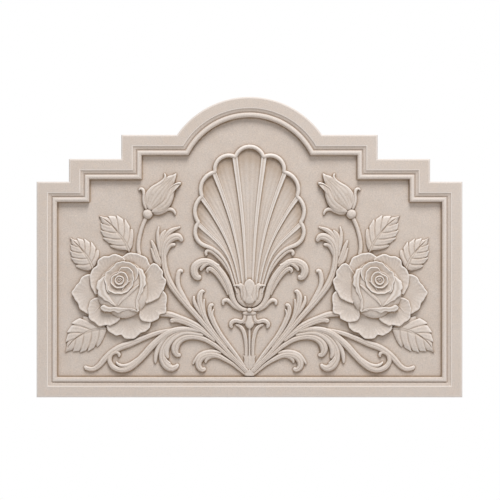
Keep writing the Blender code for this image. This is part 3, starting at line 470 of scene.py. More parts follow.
# Studio, in metres and watts: each light's name, place, size and power; the floor's drop below the
# foot, half-width and depths to front and back; the sky's strength as light and as backdrop; then the
# camera's distance, place aside and up, and the width that it sees at the panel's face
LIGHTS = (("key_light", (0.8, -3.6, 6.0), 3.0, 442.0), ("fill_left", (-2.6, -2.6, 0.5), 2.0, 3.0),
          ("fill_right", (2.6, -2.6, 0.5), 2.0, 9.0))
FLOOR_DROP = 0.75
FLOOR_HALF_WIDTH = 4.0
FLOOR_FRONT = 5.0
FLOOR_BACK = 1.2
FLOOR_ROUGHNESS = 0.9
SKY_STRENGTH = 0.25
BACKDROP_STRENGTH = 1.0
CAMERA_DISTANCE = 4.6
CAMERA_ASIDE = 0.0014
CAMERA_UP = -0.0082
PICTURE_WIDTH = 1.4085
SENSOR_WIDTH = 36.0


class PanelSizes(bpy.types.PropertyGroup):
    """Sizes of the moulded frame and how far the carving stands above the field."""

    thickness: FloatProperty(name="Slab Thickness", description="Back to front of the slab",
                             default=0.060, unit="LENGTH")
    shoulder: FloatProperty(name="Shoulder Height", description="Foot to the first step",
                            default=0.608, unit="LENGTH")
    first_tread: FloatProperty(name="First Tread", description="Width of the first step",
                               default=0.091, unit="LENGTH")
    first_rise: FloatProperty(name="First Rise", description="Height of the first step",
                              default=0.064, unit="LENGTH")
    second_tread: FloatProperty(name="Second Tread", description="Width of the second step",
                                default=0.1476, unit="LENGTH")
    second_rise: FloatProperty(name="Second Rise", description="Height of the second step",
                               default=0.068, unit="LENGTH")
    arch_radius: FloatProperty(name="Arch Radius", description="Outer radius of the arch",
                               default=0.2493, unit="LENGTH")
    arris: FloatProperty(name="Arris", description="Worn outer edge of the fillet",
                         default=0.004, unit="LENGTH")
    fillet: FloatProperty(name="Fillet Width", description="Flat outer band of the frame",
                          default=0.0316, unit="LENGTH")
    cove: FloatProperty(name="Cove Width", description="Sloped band inside the fillet",
                        default=0.0121, unit="LENGTH")
    cove_depth: FloatProperty(name="Cove Depth", description="Depth of the groove beside the roll",
                              default=0.007, unit="LENGTH")
    roll: FloatProperty(name="Roll Width", description="Half-round moulding round the field",
                        default=0.0132, unit="LENGTH")
    field_depth: FloatProperty(name="Field Depth", description="How deep the field is sunk",
                               default=0.016, unit="LENGTH")
    scroll: FloatProperty(name="Scroll Relief", description="Height of scrolls and stems",
                          default=0.012, unit="LENGTH")
    shell: FloatProperty(name="Shell Relief", description="Height of the shell's rim",
                         default=0.011, unit="LENGTH")
    calyx: FloatProperty(name="Calyx Relief", description="Height of the tulip bud",
                         default=0.018, unit="LENGTH")
    pendant: FloatProperty(name="Pendant Relief", description="Height of the pendant and foot",
                           default=0.011, unit="LENGTH")
    rose: FloatProperty(name="Rose Relief", description="Height of the roses' hearts",
                        default=0.034, unit="LENGTH")
    bud: FloatProperty(name="Rosebud Relief", description="Height of the rosebuds",
                       default=0.016, unit="LENGTH")
    leaf: FloatProperty(name="Leaf Relief", description="Height of the leaves",
                        default=0.010, unit="LENGTH")


class PanelColours(bpy.types.PropertyGroup):
    """Colours of the stone and of the studio."""

    stone: FloatVectorProperty(name="Stone", description="The stone's open faces", subtype="COLOR",
                               size=3, min=0.0, max=1.0, default=(0.669, 0.589, 0.531))
    warm: FloatVectorProperty(name="Warm Veins", description="Pinker clouds in the stone",
                              subtype="COLOR", size=3, min=0.0, max=1.0, default=(0.64, 0.535, 0.455))
    # Painted shade, with some dust, in the hollows and under the forms
    hollow: FloatVectorProperty(name="Hollows", description="Dust and shade lodged in the hollows",
                                subtype="COLOR", size=3, min=0.0, max=1.0,
                                default=(0.272, 0.163, 0.074))
    # Painted highlight on the crests, the edges and all carved faces
    crest: FloatVectorProperty(name="Crests", description="Paler stone on the rubbed crests",
                               subtype="COLOR", size=3, min=0.0, max=1.0, default=(0.90, 0.836, 0.788))
    floor: FloatVectorProperty(name="Floor", description="Pale studio floor", subtype="COLOR",
                               size=3, min=0.0, max=1.0, default=(0.86, 0.86, 0.86))


def sizes():
    """The panel's sizes as they stand in the scene."""
    return bpy.context.scene.panel_sizes


def colours():
    """The colours as they stand in the scene."""
    return bpy.context.scene.panel_colours


def field_y():
    """Where the sunk field lies: its depth behind the slab's front."""
    return -sizes().thickness + sizes().field_depth


def frame_width():
    """Fillet, cove and roll side by side."""
    return sizes().fillet + sizes().cove + sizes().roll


def to_world(x, z, height):
    """Cartoon place and height above the field to metres, as an array of corners."""
    edge = CARTOON_INSET
    square_x = (PANEL_WIDTH - 2 * edge) / SQUARES_WIDE
    square_z = (PANEL_HEIGHT - 2 * edge) / SQUARES_HIGH
    return np.stack((x * square_x, field_y() - height, FOOT_Z + edge + (z - SQUARES_BELOW) * square_z), -1)


def smooth_run(places, closed=False, samples=SPAN_SAMPLES):
    """Catmull-Rom curve through the places: in each span a cubic in t from four neighbours."""
    points = np.array(places, dtype=float)
    if closed:
        points = np.vstack((points[-1], points, points[:2]))
    else:
        points = np.vstack((2 * points[0] - points[1], points, 2 * points[-1] - points[-2]))
    t = np.linspace(0.0, 1.0, samples, endpoint=False)[None, :, None]
    a, b, c, d = (points[i:len(points) - 3 + i][:, None, :] for i in range(4))
    curve = 0.5 * (2 * b + (c - a) * t + (2 * a - 5 * b + 4 * c - d) * t ** 2
                   + (3 * b - a - 3 * c + d) * t ** 3)
    curve = curve.reshape(-1, points.shape[1])
    return curve if closed else np.vstack((curve, points[-2]))


def run_length(curve):
    """Distance along a curve at each of its points."""
    steps = np.diff(curve[:, :2], axis=0)
    return np.concatenate(([0.0], np.cumsum(np.hypot(steps[:, 0], steps[:, 1]))))


def resample(curve, at):
    """The curve's columns read off at given distances along it."""
    along = run_length(curve)
    return np.stack([np.interp(at, along, column) for column in curve.T], -1)


def distance_to(x, z, line):
    """Distance of every place to the nearest sample of a line."""
    fine = smooth_run(line)
    gaps = np.hypot(x.ravel()[:, None] - fine[:, 0], z.ravel()[:, None] - fine[:, 1])
    return gaps.min(1).reshape(x.shape)


def bell(value, width):
    """1 in the middle, falling off over width as a bell does."""
    return np.exp(-(value / width) ** 2)


def ease(value):
    """0 below 0, 1 above 1, and a smooth S between."""
    value = np.clip(value, 0.0, 1.0)
    return value * value * (3 - 2 * value)


def puff(phase):
    """A half-round pillow over each whole step of phase, with a crease at its ends."""
    across = 2 * (phase - np.floor(phase)) - 1
    return np.sqrt(np.clip(1 - across ** 2, 0.0, 1.0))


class Carving:
    """Collects closed surfaces, each a grid whose rows are rings, and makes one mesh of them."""

    def __init__(self):
        self.corners = []
        self.faces = []
        self.grooves = []
        self.count = 0

    def add(self, x, z, height, groove):
        """A closed surface from arrays of rings by places round a ring. The first and last rings
        are closed with a pole at their middle, and the faces are turned outward by its volume."""
        rings, around = x.shape
        places = to_world(x, z, height).reshape(-1, 3)
        groove = groove.ravel()
        poles = np.stack((places[:around].mean(0), places[-around:].mean(0)))
        places = np.vstack((places, poles))
        groove = np.concatenate((groove, [groove[:around].mean(), groove[-around:].mean()]))
        index = np.arange(rings * around).reshape(rings, around)
        near = index[:-1]
        far = index[1:]
        quads = np.stack((near, np.roll(near, -1, 1), np.roll(far, -1, 1), far), -1).reshape(-1, 4)
        first = np.stack((np.roll(index[0], -1), index[0], np.full(around, rings * around)), -1)
        last = np.stack((index[-1], np.roll(index[-1], -1), np.full(around, rings * around + 1)), -1)
        tris = np.vstack((first, last))
        a, b, c, d = (places[quads[:, i]] for i in range(4))
        volume = np.sum(a * np.cross(b, c)) + np.sum(a * np.cross(c, d))
        e, f, g = (places[tris[:, i]] for i in range(3))
        volume += np.sum(e * np.cross(f, g))
        if volume < 0:
            quads = quads[:, ::-1]
            tris = tris[:, ::-1]
        self.corners.append(places)
        self.grooves.append(groove)
        self.faces += (quads + self.count).tolist() + (tris + self.count).tolist()
        self.count += len(places)

    def build(self, name, mirrored=False):
        """The collected surfaces as one object, or their mirror image about the axis."""
        corners = np.vstack(self.corners)
        faces = self.faces
        if mirrored:
            corners = corners * (-1.0, 1.0, 1.0)
            faces = [face[::-1] for face in faces]
        make_piece(name, corners, faces, np.concatenate(self.grooves))


def make_piece(name, corners, faces, groove, sharp=50.0):
    """A mesh object in place, with its groove attribute and finish, carried by the root body; the solid it
    replaces is hidden.
    """
    mesh = bpy.data.meshes.new(name)
    mesh.from_pydata(corners.tolist(), [], faces)
    mesh.shade_smooth()
    mesh.set_sharp_from_angle(angle=math.radians(sharp))
    # groove carries painted shade above 0 and painted highlight below 0
    mesh.attributes.new("groove", "FLOAT", "POINT").data.foreach_set("value", groove.astype(np.float32))
    mesh.materials.append(stone_material())
    piece = bpy.data.objects.new(name, mesh)
    bpy.context.scene.collection.objects.link(piece)
    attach(piece, "root")
    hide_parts(NODE)


def add_strand(carving, places, height, flutes=1, rise=0.25, taper=0.4):
    """A profile carried along a path. Across it, s runs from -1 to 1: over a share of rise that is
    upright, the top is the root of 1 - |s|^2.4, pillowed into flutes. The height follows the width
    to the power of taper; at both ends the width closes as a quarter round, and the height with it
    down to 0.35."""
    curve = smooth_run(places)
    length = run_length(curve)[-1]
    ends = curve[[0, -1], 2]
    turn = np.sin(np.linspace(0.0, math.pi / 2, END_ROWS))
    start = ends[0] * (1 - turn[::-1])
    stop = length - ends[1] * (1 - turn)
    rows = max(6, int((length - ends.sum()) / ROW_SPACING))
    at = np.concatenate((start, np.linspace(ends[0], length - ends[1], rows)[1:-1], stop))
    path = resample(curve, at)
    closing = np.sqrt(np.clip(1 - np.clip(1 - at / ends[0], 0, 1) ** 2, 0.0004, 1)) \
        * np.sqrt(np.clip(1 - np.clip(1 - (length - at) / ends[1], 0, 1) ** 2, 0.0004, 1))
    step = np.gradient(path[:, :2], axis=0)
    heading = np.arctan2(step[:, 1], step[:, 0])
    half = path[:, 2] * closing
    top = height * (path[:, 2] / path[:, 2].max()) ** taper * (0.35 + 0.65 * closing)
    count = 8 * flutes + 5
    s = -np.cos(np.linspace(0.0, math.pi, count)) if flutes == 1 else np.linspace(-1, 1, count)
    body = (1 - np.abs(s) ** 2.4) ** 0.5
    pillow = puff((s + 1) / 2 * flutes) if flutes > 1 else np.ones(count)
    shape = body * (1 - FLUTE_CREASE + FLUTE_CREASE * pillow)
    # Painted shade in the creases between the flutes
    groove = (1 - pillow) ** 2 * FLUTE_SHADE
    across = np.concatenate((s, [0.92, 0.0, -0.92]))
    level = top[:, None] * (rise + (1 - rise) * shape)
    under = np.full((len(at), 3), -ROOT_DEPTH)
    height_grid = np.concatenate((level, under), 1)
    height_grid[:, count - 1] = top * rise
    groove_grid = np.tile(np.concatenate((groove, np.zeros(3))), (len(at), 1))
    x = path[:, 0, None] - np.sin(heading)[:, None] * half[:, None] * across
    z = path[:, 1, None] + np.cos(heading)[:, None] * half[:, None] * across
    carving.add(x, z, height_grid, groove_grid)


def add_plate(carving, edge, middle, height, crown=1.0, lip=0.0, dish=0.0, edge_share=0.45,
              round_over=2.5, undercut=0.8, creases=(), crease_depth=0.0018, crease_width=0.9,
              crease_shade=0.8, wave_height=0.0):
    """Rings drawn in from an outline to a middle. With d the distance in from the edge, the height
    climbs from its edge share over round_over as a quarter round, falls by lip away from a bell at
    d = 1.1, dips by dish as the square of a sine, and swells by crown towards the middle. Fine
    waves round the outline fade inward; on such a petal, shade is painted in towards the middle and
    a highlight near the edge and on the waves' crests. Creases are bells along lines, with painted
    shade in them."""
    edge = np.asarray(edge, dtype=float)[:, :2]
    middle = np.asarray(middle, dtype=float)
    inward = middle - edge
    reach = np.hypot(inward[:, 0], inward[:, 1])
    inward = inward / reach[:, None]
    near = np.array((undercut, undercut * 0.5) + PLATE_NEAR)
    limit = np.minimum(1.0, reach * 0.5 / near[-1])
    d_near = near[:, None] * limit
    d_far = d_near[-1] + (reach - d_near[-1]) * np.array(PLATE_FAR)[:, None]
    d = np.vstack((d_near, d_far))
    x = edge[:, 0] + inward[:, 0] * d
    z = edge[:, 1] + inward[:, 1] * d
    inside = d / reach
    climb = np.sqrt(np.clip(1 - (1 - np.clip(d / (round_over * limit), 0, 1)) ** 2, 0, 1))
    h = height * (edge_share + (1 - edge_share) * climb)
    h = h - lip * (1 - bell(d - 1.1, 1.0)) * (climb > 0.5) * ease(d / 2.0)
    h = h - dish * np.sin(math.pi * np.clip(inside, 0, 1)) ** 2
    h = h * (1 + (crown - 1) * ease(inside))
    groove = np.zeros(h.shape)
    if wave_height:
        around = np.linspace(0, 2 * math.pi, len(edge), endpoint=False)
        wave = np.sin(PETAL_WAVES * around) * (1 - ease(inside * 1.3))
        h = h + wave_height * wave
        groove = 0.24 * ease(inside) - 0.15 * bell(d - 1.5, 2.0) - 0.08 * wave
    for line in creases:
        cut = bell(distance_to(x, z, line), crease_width)
        h = h - crease_depth * cut
        groove = np.maximum(groove, cut * crease_shade)
    h[0] = -ROOT_DEPTH
    h[1] = height * edge_share * 0.35
    carving.add(x, z, h, groove)


def both_sides(half_edge):
    """Close the right half of an outline with its mirror image."""
    right = np.array(half_edge, dtype=float)
    return np.vstack((right, (right * (-1, 1))[::-1][1:-1]))


def rim_lobe(start, end, bulge):
    """Places along one lobe of the rim: the arc from start to end that bulges out to the left."""
    start = np.array(start, dtype=float)
    end = np.array(end, dtype=float)
    chord = end - start
    half = np.hypot(*chord) / 2
    radius = (half ** 2 + bulge ** 2) / (2 * bulge)
    out = np.array((-chord[1], chord[0])) / (2 * half)
    centre = (start + end) / 2 + out * (bulge - radius)
    first = math.atan2(*(start - centre)[::-1])
    sweep = 2 * math.asin(min(1.0, half / radius))
    if bulge > radius:
        sweep = 2 * math.pi - sweep
    angles = first - sweep * np.linspace(0.0, 1.0, RIM_PLACES)
    return centre + radius * np.stack((np.cos(angles), np.sin(angles)), -1)


def channel(near, far, arc, along):
    """One channel between two ribs, up to its arc of the rim, as x, z, level and groove. With u
    across it from the rib nearer the axis, it drops at once and rises again as (1 - u)^0.9 over
    fine ripples; the middle one is a bowl of (2 u - 1)^2. It is hollowed like a spoon under the
    rim. Shade is painted into the channel beside the ribs, under the rim and in its top corners, a
    little over all of it, and in the ripples' troughs. A rib is flat, with a painted highlight over
    it, strongest on a ridge each side of a fine line."""
    widths = (RIB_WIDTHS[0] + (RIB_WIDTHS[1] - RIB_WIDTHS[0]) * along ** 1.3)[:, None]
    under_rim = bell(along - 1.0, 0.15)[:, None]
    close_in = bell(along - 1.0, 0.07)[:, None]
    open_out = (0.45 + 0.55 * ease(along * 1.5))[:, None]
    gap = np.hypot(*(far - near).T)[:, None]
    half = np.minimum(widths, RIB_LIMIT * gap)
    first = half * np.array(RIB_BESIDE) / gap
    between = np.linspace(0.0, 1.0, CHANNEL_COLUMNS + 2)[1:-1]
    q = np.hstack((first, first[:, -1:] + (1 - 2 * first[:, -1:]) * between, 1 - first[:, ::-1]))
    share = run_length(arc) / run_length(arc)[-1]
    fit = np.stack([np.interp(q, share, column) for column in arc.T], -1)
    chord = near[-1] + (far[-1] - near[-1]) * q[..., None]
    place = near[:, None] + (far - near)[:, None] * q[..., None]
    place = place + (fit - chord) * (ease((along - 0.45) / 0.55) ** 1.3)[:, None, None]
    aside = np.minimum(q, 1 - q) * gap / half
    rib = ease((1.12 - aside) / 0.26)
    lean = abs(far[-1, 0]) - abs(near[-1, 0])
    u = q if lean > 1 else 1 - q
    if abs(lean) > 1:
        lapped = 0.35 + 0.65 * (1 - u) ** 0.9
        crease = bell(u * gap - half * 1.30, 1.1)
    else:
        lapped = 0.35 + 0.35 * (1 - (2 * u - 1) ** 2)
        crease = 0.35 * bell(aside - 1.3, 0.4)
    arched = 1 - (2 * q - 1) ** 4
    spoon = arched * under_rim
    ripple = np.cos(u * 2 * math.pi * RIPPLES) * open_out
    cut = np.clip(CHANNEL_CUT * lapped * open_out + SPOON_CUT * spoon, 0.0, DEEPEST_CUT)
    ridge = bell(aside - 0.72, 0.26)
    line = bell(aside, 0.3) * ease(along * 2 - 0.6)[:, None]
    h = sizes().shell * (RIB_LEVEL - (cut - RIPPLE_CUT * ripple) * (1 - rib) - RIB_LINE_CUT * line)
    shade = 0.70 * crease + 0.95 * spoon + 0.60 * arched * close_in + 0.10 - 0.08 * ripple
    groove = shade * (1 - rib) - (0.15 + 0.50 * ridge - 0.30 * line) * rib
    return place[:, :-1, 0], place[:, :-1, 1], h[:, :-1], groove[:, :-1]


def make_shell():
    """The fan is one grid: its columns run between neighbouring ribs, its rows from the root to the
    rim. The rim is a roll carried round the lobes."""
    along = np.linspace(0.0, 1.0, FAN_ROWS)
    curves = [smooth_run(rib) for rib in RIBS]
    right = [resample(curve, along * run_length(curve)[-1]) for curve in curves]
    ribs = [rib * (-1, 1) for rib in right[::-1]] + right
    lobes = [rim_lobe(a, b, bulge) for a, b, bulge in zip(RIM_NOTCHES, RIM_NOTCHES[1:], RIM_BULGES)]
    arcs = [(lobe * (-1, 1))[::-1] for lobe in lobes[:0:-1]] + lobes
    channels = [channel(near, far, arc, along) for near, far, arc in zip(ribs, ribs[1:], arcs)]
    first, last = ribs[0], ribs[-1]
    level = np.full((FAN_ROWS, 1), sizes().shell * RIB_LEVEL)
    root = np.full((FAN_ROWS, 1), -ROOT_DEPTH)
    closing = ((last[:, :1], last[:, :1], first[:, :1]), (last[:, 1:], last[:, 1:], first[:, 1:]),
               (level, root, root), (np.zeros((FAN_ROWS, 3)),))
    x, z, h, groove = (np.hstack(grids + ends) for grids, ends in zip(zip(*channels), closing))
    x, z, groove = (np.vstack((grid[:1], grid, grid[-1:])) for grid in (x, z, groove))
    base = np.full((1, x.shape[1]), -ROOT_DEPTH)
    carving = Carving()
    carving.add(x, z, np.vstack((base, h, base)), groove)
    add_rim(carving, rim_path(lobes))
    carving.build("shell")


def rim_path(lobes):
    """The rim's places (x, z, half-width), round the lobes and down the outer ribs, where it narrows
    to half."""
    tail = smooth_run(RIBS[-1][::-1])[1:]
    half_rim = np.vstack([lobe[:-1] for lobe in lobes[1:]] + [lobes[-1][-1:], tail])
    rim = np.vstack((half_rim[::-1] * (-1, 1), lobes[0][1:-1], half_rim))
    narrow = np.linspace(RIM_HALF_WIDTH, RIM_HALF_WIDTH * 0.5, len(tail))
    half = np.concatenate((narrow[::-1], np.full(len(rim) - 2 * len(tail), RIM_HALF_WIDTH), narrow))
    return rounded(np.column_stack((rim, half)), RIM_STEP, RIM_REACH)


def rounded(curve, spacing, reach):
    """A curve in even steps, each place moved to the mean of its neighbours weighed by a bell."""
    length = run_length(curve)[-1]
    even = resample(curve, np.linspace(0.0, length, int(length / spacing)))
    steps = math.ceil(2 * reach / spacing)
    weights = bell(np.arange(-steps, steps + 1) * spacing, reach)
    padded = np.vstack((np.repeat(even[:1], steps, 0), even, np.repeat(even[-1:], steps, 0)))
    return np.column_stack([np.convolve(column, weights / weights.sum(), "valid") for column in padded.T])


def add_rim(carving, rim):
    """The rim's section, carried round the lobes: its level rises from 0.2 of the relief to 1.06 as
    the root of 1 - |s|^2.6."""
    s = -np.cos(np.linspace(0.0, math.pi, 13))
    level = 0.2 + 0.86 * (1 - np.abs(s) ** 2.6) ** 0.5
    step = np.gradient(rim[:, :2], axis=0)
    heading = np.arctan2(step[:, 1], step[:, 0])
    across = np.concatenate((s, [0.8, -0.8]))
    height = np.concatenate((sizes().shell * level, [-ROOT_DEPTH, -ROOT_DEPTH]))
    x = rim[:, 0, None] - (np.sin(heading) * rim[:, 2])[:, None] * across
    z = rim[:, 1, None] + (np.cos(heading) * rim[:, 2])[:, None] * across
    # A painted highlight along the rim, a little to one side of its crest
    groove = np.concatenate((-0.3 * bell(s - 0.4, 0.4), [0.0, 0.0]))
    carving.add(x, z, np.tile(height, (len(rim), 1)), np.tile(groove, (len(rim), 1)))


def make_axis_ornament():
    """The bud's body with its side petals and lips, the plates over it and below it, and the rib on
    the axis."""
    full = sizes().calyx
    carving = Carving()
    body = smooth_run(both_sides(TULIP_BODY), closed=True, samples=7)
    creases = [np.array(line) * (side, 1) for line in TULIP_CREASES for side in (1, -1)]
    add_plate(carving, body, (0, 102), full * 0.60, crown=1.22, round_over=5.0, creases=creases)
    for side in (1, -1):
        petal = smooth_run(TULIP_SIDE, closed=True, samples=6) * (side, 1)
        creases = [np.array(line) * (side, 1) for line in SIDE_CREASES]
        add_plate(carving, petal, (5.4 * side, 106), full * 0.80, crown=1.06, edge_share=0.72,
                  round_over=2.4, creases=creases, crease_depth=0.0006, crease_width=0.6)
        add_strand(carving, np.array(TULIP_LIP) * (side, 1, 1), full * 0.88)
    for half_edge, samples, middle, calyx, pendant, crown, edge_share, round_over in AXIS_PLATES:
        edge = smooth_run(both_sides(half_edge), closed=True, samples=samples)
        add_plate(carving, edge, (0, middle), full * calyx + sizes().pendant * pendant, crown=crown,
                  edge_share=edge_share, round_over=round_over)
    add_strand(carving, AXIS_RIB, sizes().scroll * 0.62)
    carving.build("centre_ornament")


def make_scrolls():
    """Every stem and lobe is a fluted strand."""
    carving = Carving()
    for share, flutes, places in SCROLLS:
        add_strand(carving, places, sizes().scroll * share, flutes)
    carving.build("scrolls_right")
    carving.build("scrolls_left", mirrored=True)


def ruffled(curve, swing, length):
    """A curve swung to its left and right by a sine over its length, faded out at its ends."""
    along = run_length(curve)
    run = np.gradient(curve, axis=0)
    across = np.column_stack((-run[:, 1], run[:, 0])) / np.hypot(run[:, 0], run[:, 1])[:, None]
    fade = np.sqrt(np.clip(np.sin(math.pi * along / along[-1]), 0, 1))
    return curve + across * (swing * fade * np.sin(along * 2 * math.pi / length))[:, None]


def add_ribbon(carving, outer, inner, height, tilt):
    """A folded lip between two edges. With s from -1 at the outer edge to 1 at the inner one, its
    level is height (rise + (1 - rise) root(1 - |s|^3)) (1 + tilt s), with steep sides, dipped by a
    bell along the middle; shade is painted into the dip, and highlights onto the crests on both sides of it."""
    outer = ruffled(smooth_run(outer), *LIP_RUFFLE)
    inner = smooth_run(inner)
    share = np.linspace(0.0, 1.0, int(run_length(outer)[-1] / LIP_SPACING))
    a, b = (resample(edge, share * run_length(edge)[-1])[:, None] for edge in (outer, inner))
    s = -np.cos(np.linspace(0.0, math.pi, 13))
    across = np.concatenate((s, [0.9, -0.9]))
    t = ((across + 1) / 2)[:, None]
    place = a * (1 - t) + b * t
    level = height * (LIP_RISE + (1 - LIP_RISE) * np.sqrt(1 - np.abs(s) ** 3)) * (1 + tilt * s)
    level = level * (1 - 0.035 * bell(s + 0.05, 0.35))
    shade = 0.30 * bell(s + 0.05, 0.3) - 0.6 * bell(s - 0.5, 0.25) - 0.6 * bell(s + 0.6, 0.25)
    rows = np.tile(np.concatenate((level, [-ROOT_DEPTH, -ROOT_DEPTH])), (len(share), 1))
    shades = np.tile(np.concatenate((shade, [0.0, 0.0])), (len(share), 1))
    carving.add(place[..., 0], place[..., 1], rows, shades)


def add_cup(carving, places, middle, height, depth, fall):
    """Rings drawn in from a ruffled lip. With d the distance in, the level rises as a quarter round
    from 0.93 of the height at the lip to all of it at d = 0.5, then falls by the depth as the root
    of (d - 0.8) / fall; where the lip's share is less than 1 it is lower by the rest. Shade is painted
    in as it falls and a highlight along the lip, both by the lip's share."""
    swing, length = CUP_RUFFLE
    curve = smooth_run(places, closed=True, samples=8)
    curve[:, :2] = ruffled(curve[:, :2], swing * fall, length)
    inward = np.array(middle) - curve[:, :2]
    reach = np.hypot(inward[:, 0], inward[:, 1])
    limit = np.minimum(1.0, reach * 0.7 / CUP_NEAR[-1])
    d_near = np.array(CUP_NEAR)[:, None] * limit
    d = np.vstack((d_near, d_near[-1] + (reach - d_near[-1]) * np.array(CUP_FAR)[:, None]))
    x = curve[:, 0] + inward[:, 0] / reach * d
    z = curve[:, 1] + inward[:, 1] / reach * d
    turn = np.sqrt(np.clip(1 - (1 - np.clip(d / 0.5, 0, 1)) ** 2, 0, 1))
    lip = np.clip(curve[:, 2], 0, 1)
    sunk = np.sqrt(np.clip((d - 0.8) / fall, 0, 1))
    h = height * (0.93 + 0.07 * turn) - height * depth * (1 - lip) - height * depth * lip * sunk
    h[0] = -ROOT_DEPTH
    h[1] = height * 0.5
    groove = lip * (0.62 * ease(d / fall) - 0.8 * bell(d - 0.5, 0.7))
    carving.add(x, z, h, groove)


def make_roses():
    """Dished and lipped petals round a bowl with folded lips, cups inside each other, and a coil."""
    full = sizes().rose
    carving = Carving()
    for share, root, lip in PETALS:
        curve = ruffled(smooth_run(lip, samples=8), *PETAL_RUFFLE)
        edge = np.vstack((curve, smooth_run((lip[-1], root, lip[0]), samples=5)[1:-1]))
        middle = curve.mean(0) * 0.55 + np.array(root) * 0.45
        add_plate(carving, edge, middle, full * share, crown=0.86, lip=full * 0.04, dish=full * 0.06,
                  edge_share=0.80, round_over=0.9, undercut=2.4, wave_height=PETAL_WAVE)
    bowl = smooth_run(ROSE_BOWL, closed=True, samples=8)
    add_plate(carving, bowl, (127, 108), full * 0.66, crown=1.02, edge_share=0.55, round_over=9.0,
              undercut=1.5)
    heart = smooth_run(ROSE_HEART, closed=True, samples=8)
    add_plate(carving, heart, (127, 104), full * 0.72, crown=1.06, edge_share=0.9, round_over=7.0,
              undercut=0.5)
    for share, tilt, outer, inner in ROSE_LIPS:
        add_ribbon(carving, outer, inner, full * share, tilt)
    for share, depth, fall, middle, places in ROSE_CUPS:
        add_cup(carving, places, middle, full * share, depth, fall)
    first, last, turns = ROSE_EYE_TURN
    angle = math.pi - np.linspace(0.0, turns * 2 * math.pi, 18)
    radius = np.linspace(first, last, len(angle))
    coil = np.column_stack((ROSE_EYE[0] + radius * np.cos(angle), ROSE_EYE[1] + radius * np.sin(angle),
                            np.linspace(*ROSE_EYE_WIDTHS, len(angle))))
    for share, places in ROSE_FOLDS + ((ROSE_EYE_SHARE, coil),):
        add_strand(carving, places, full * share, rise=0.9, taper=0.0)
    carving.build("rose_right")
    carving.build("rose_left", mirrored=True)


def make_rosebuds():
    """A closed bud of two plates with creases, edged by sepals, on a ball and a stem. Fine creases
    flow from near the base to near the tip: each swings out of the line between them by its share
    of a half sine."""
    full = sizes().bud
    base, tip = (np.array(place) for place in ROSEBUD_FLOW)
    t = np.linspace(0.13, 0.88, 7)[:, None]
    aside = np.array((base[1] - tip[1], tip[0] - base[0])) * ROSEBUD_FLOW_SWING
    flow = tuple(base + (tip - base) * t + aside * share * np.sin(math.pi * t ** 0.8)
                 for share in ROSEBUD_FLOW_SHARES)
    carving = Carving()
    add_strand(carving, ROSEBUD_STEM, full * 0.56)
    for share, places in ROSEBUD_PLATES:
        edge = smooth_run(places, closed=True, samples=6)
        add_plate(carving, edge, np.mean(np.array(places), 0), full * share * 0.85, crown=1.15,
                  edge_share=0.72, round_over=4.0, creases=ROSEBUD_CREASES + flow, crease_depth=0.0008,
                  crease_width=0.7, crease_shade=0.5)
    for share, places in ROSEBUD_SEPALS:
        add_strand(carving, places, full * share)
    angles = np.linspace(0, 2 * math.pi, 32, endpoint=False)
    ball = np.array(ROSEBUD_BALL) + ROSEBUD_BALL_RADIUS * np.stack((np.cos(angles), np.sin(angles)), -1)
    add_plate(carving, ball, ROSEBUD_BALL, full * 0.9, round_over=5.0, edge_share=0.2)
    carving.build("rosebud_right")
    carving.build("rosebud_left", mirrored=True)


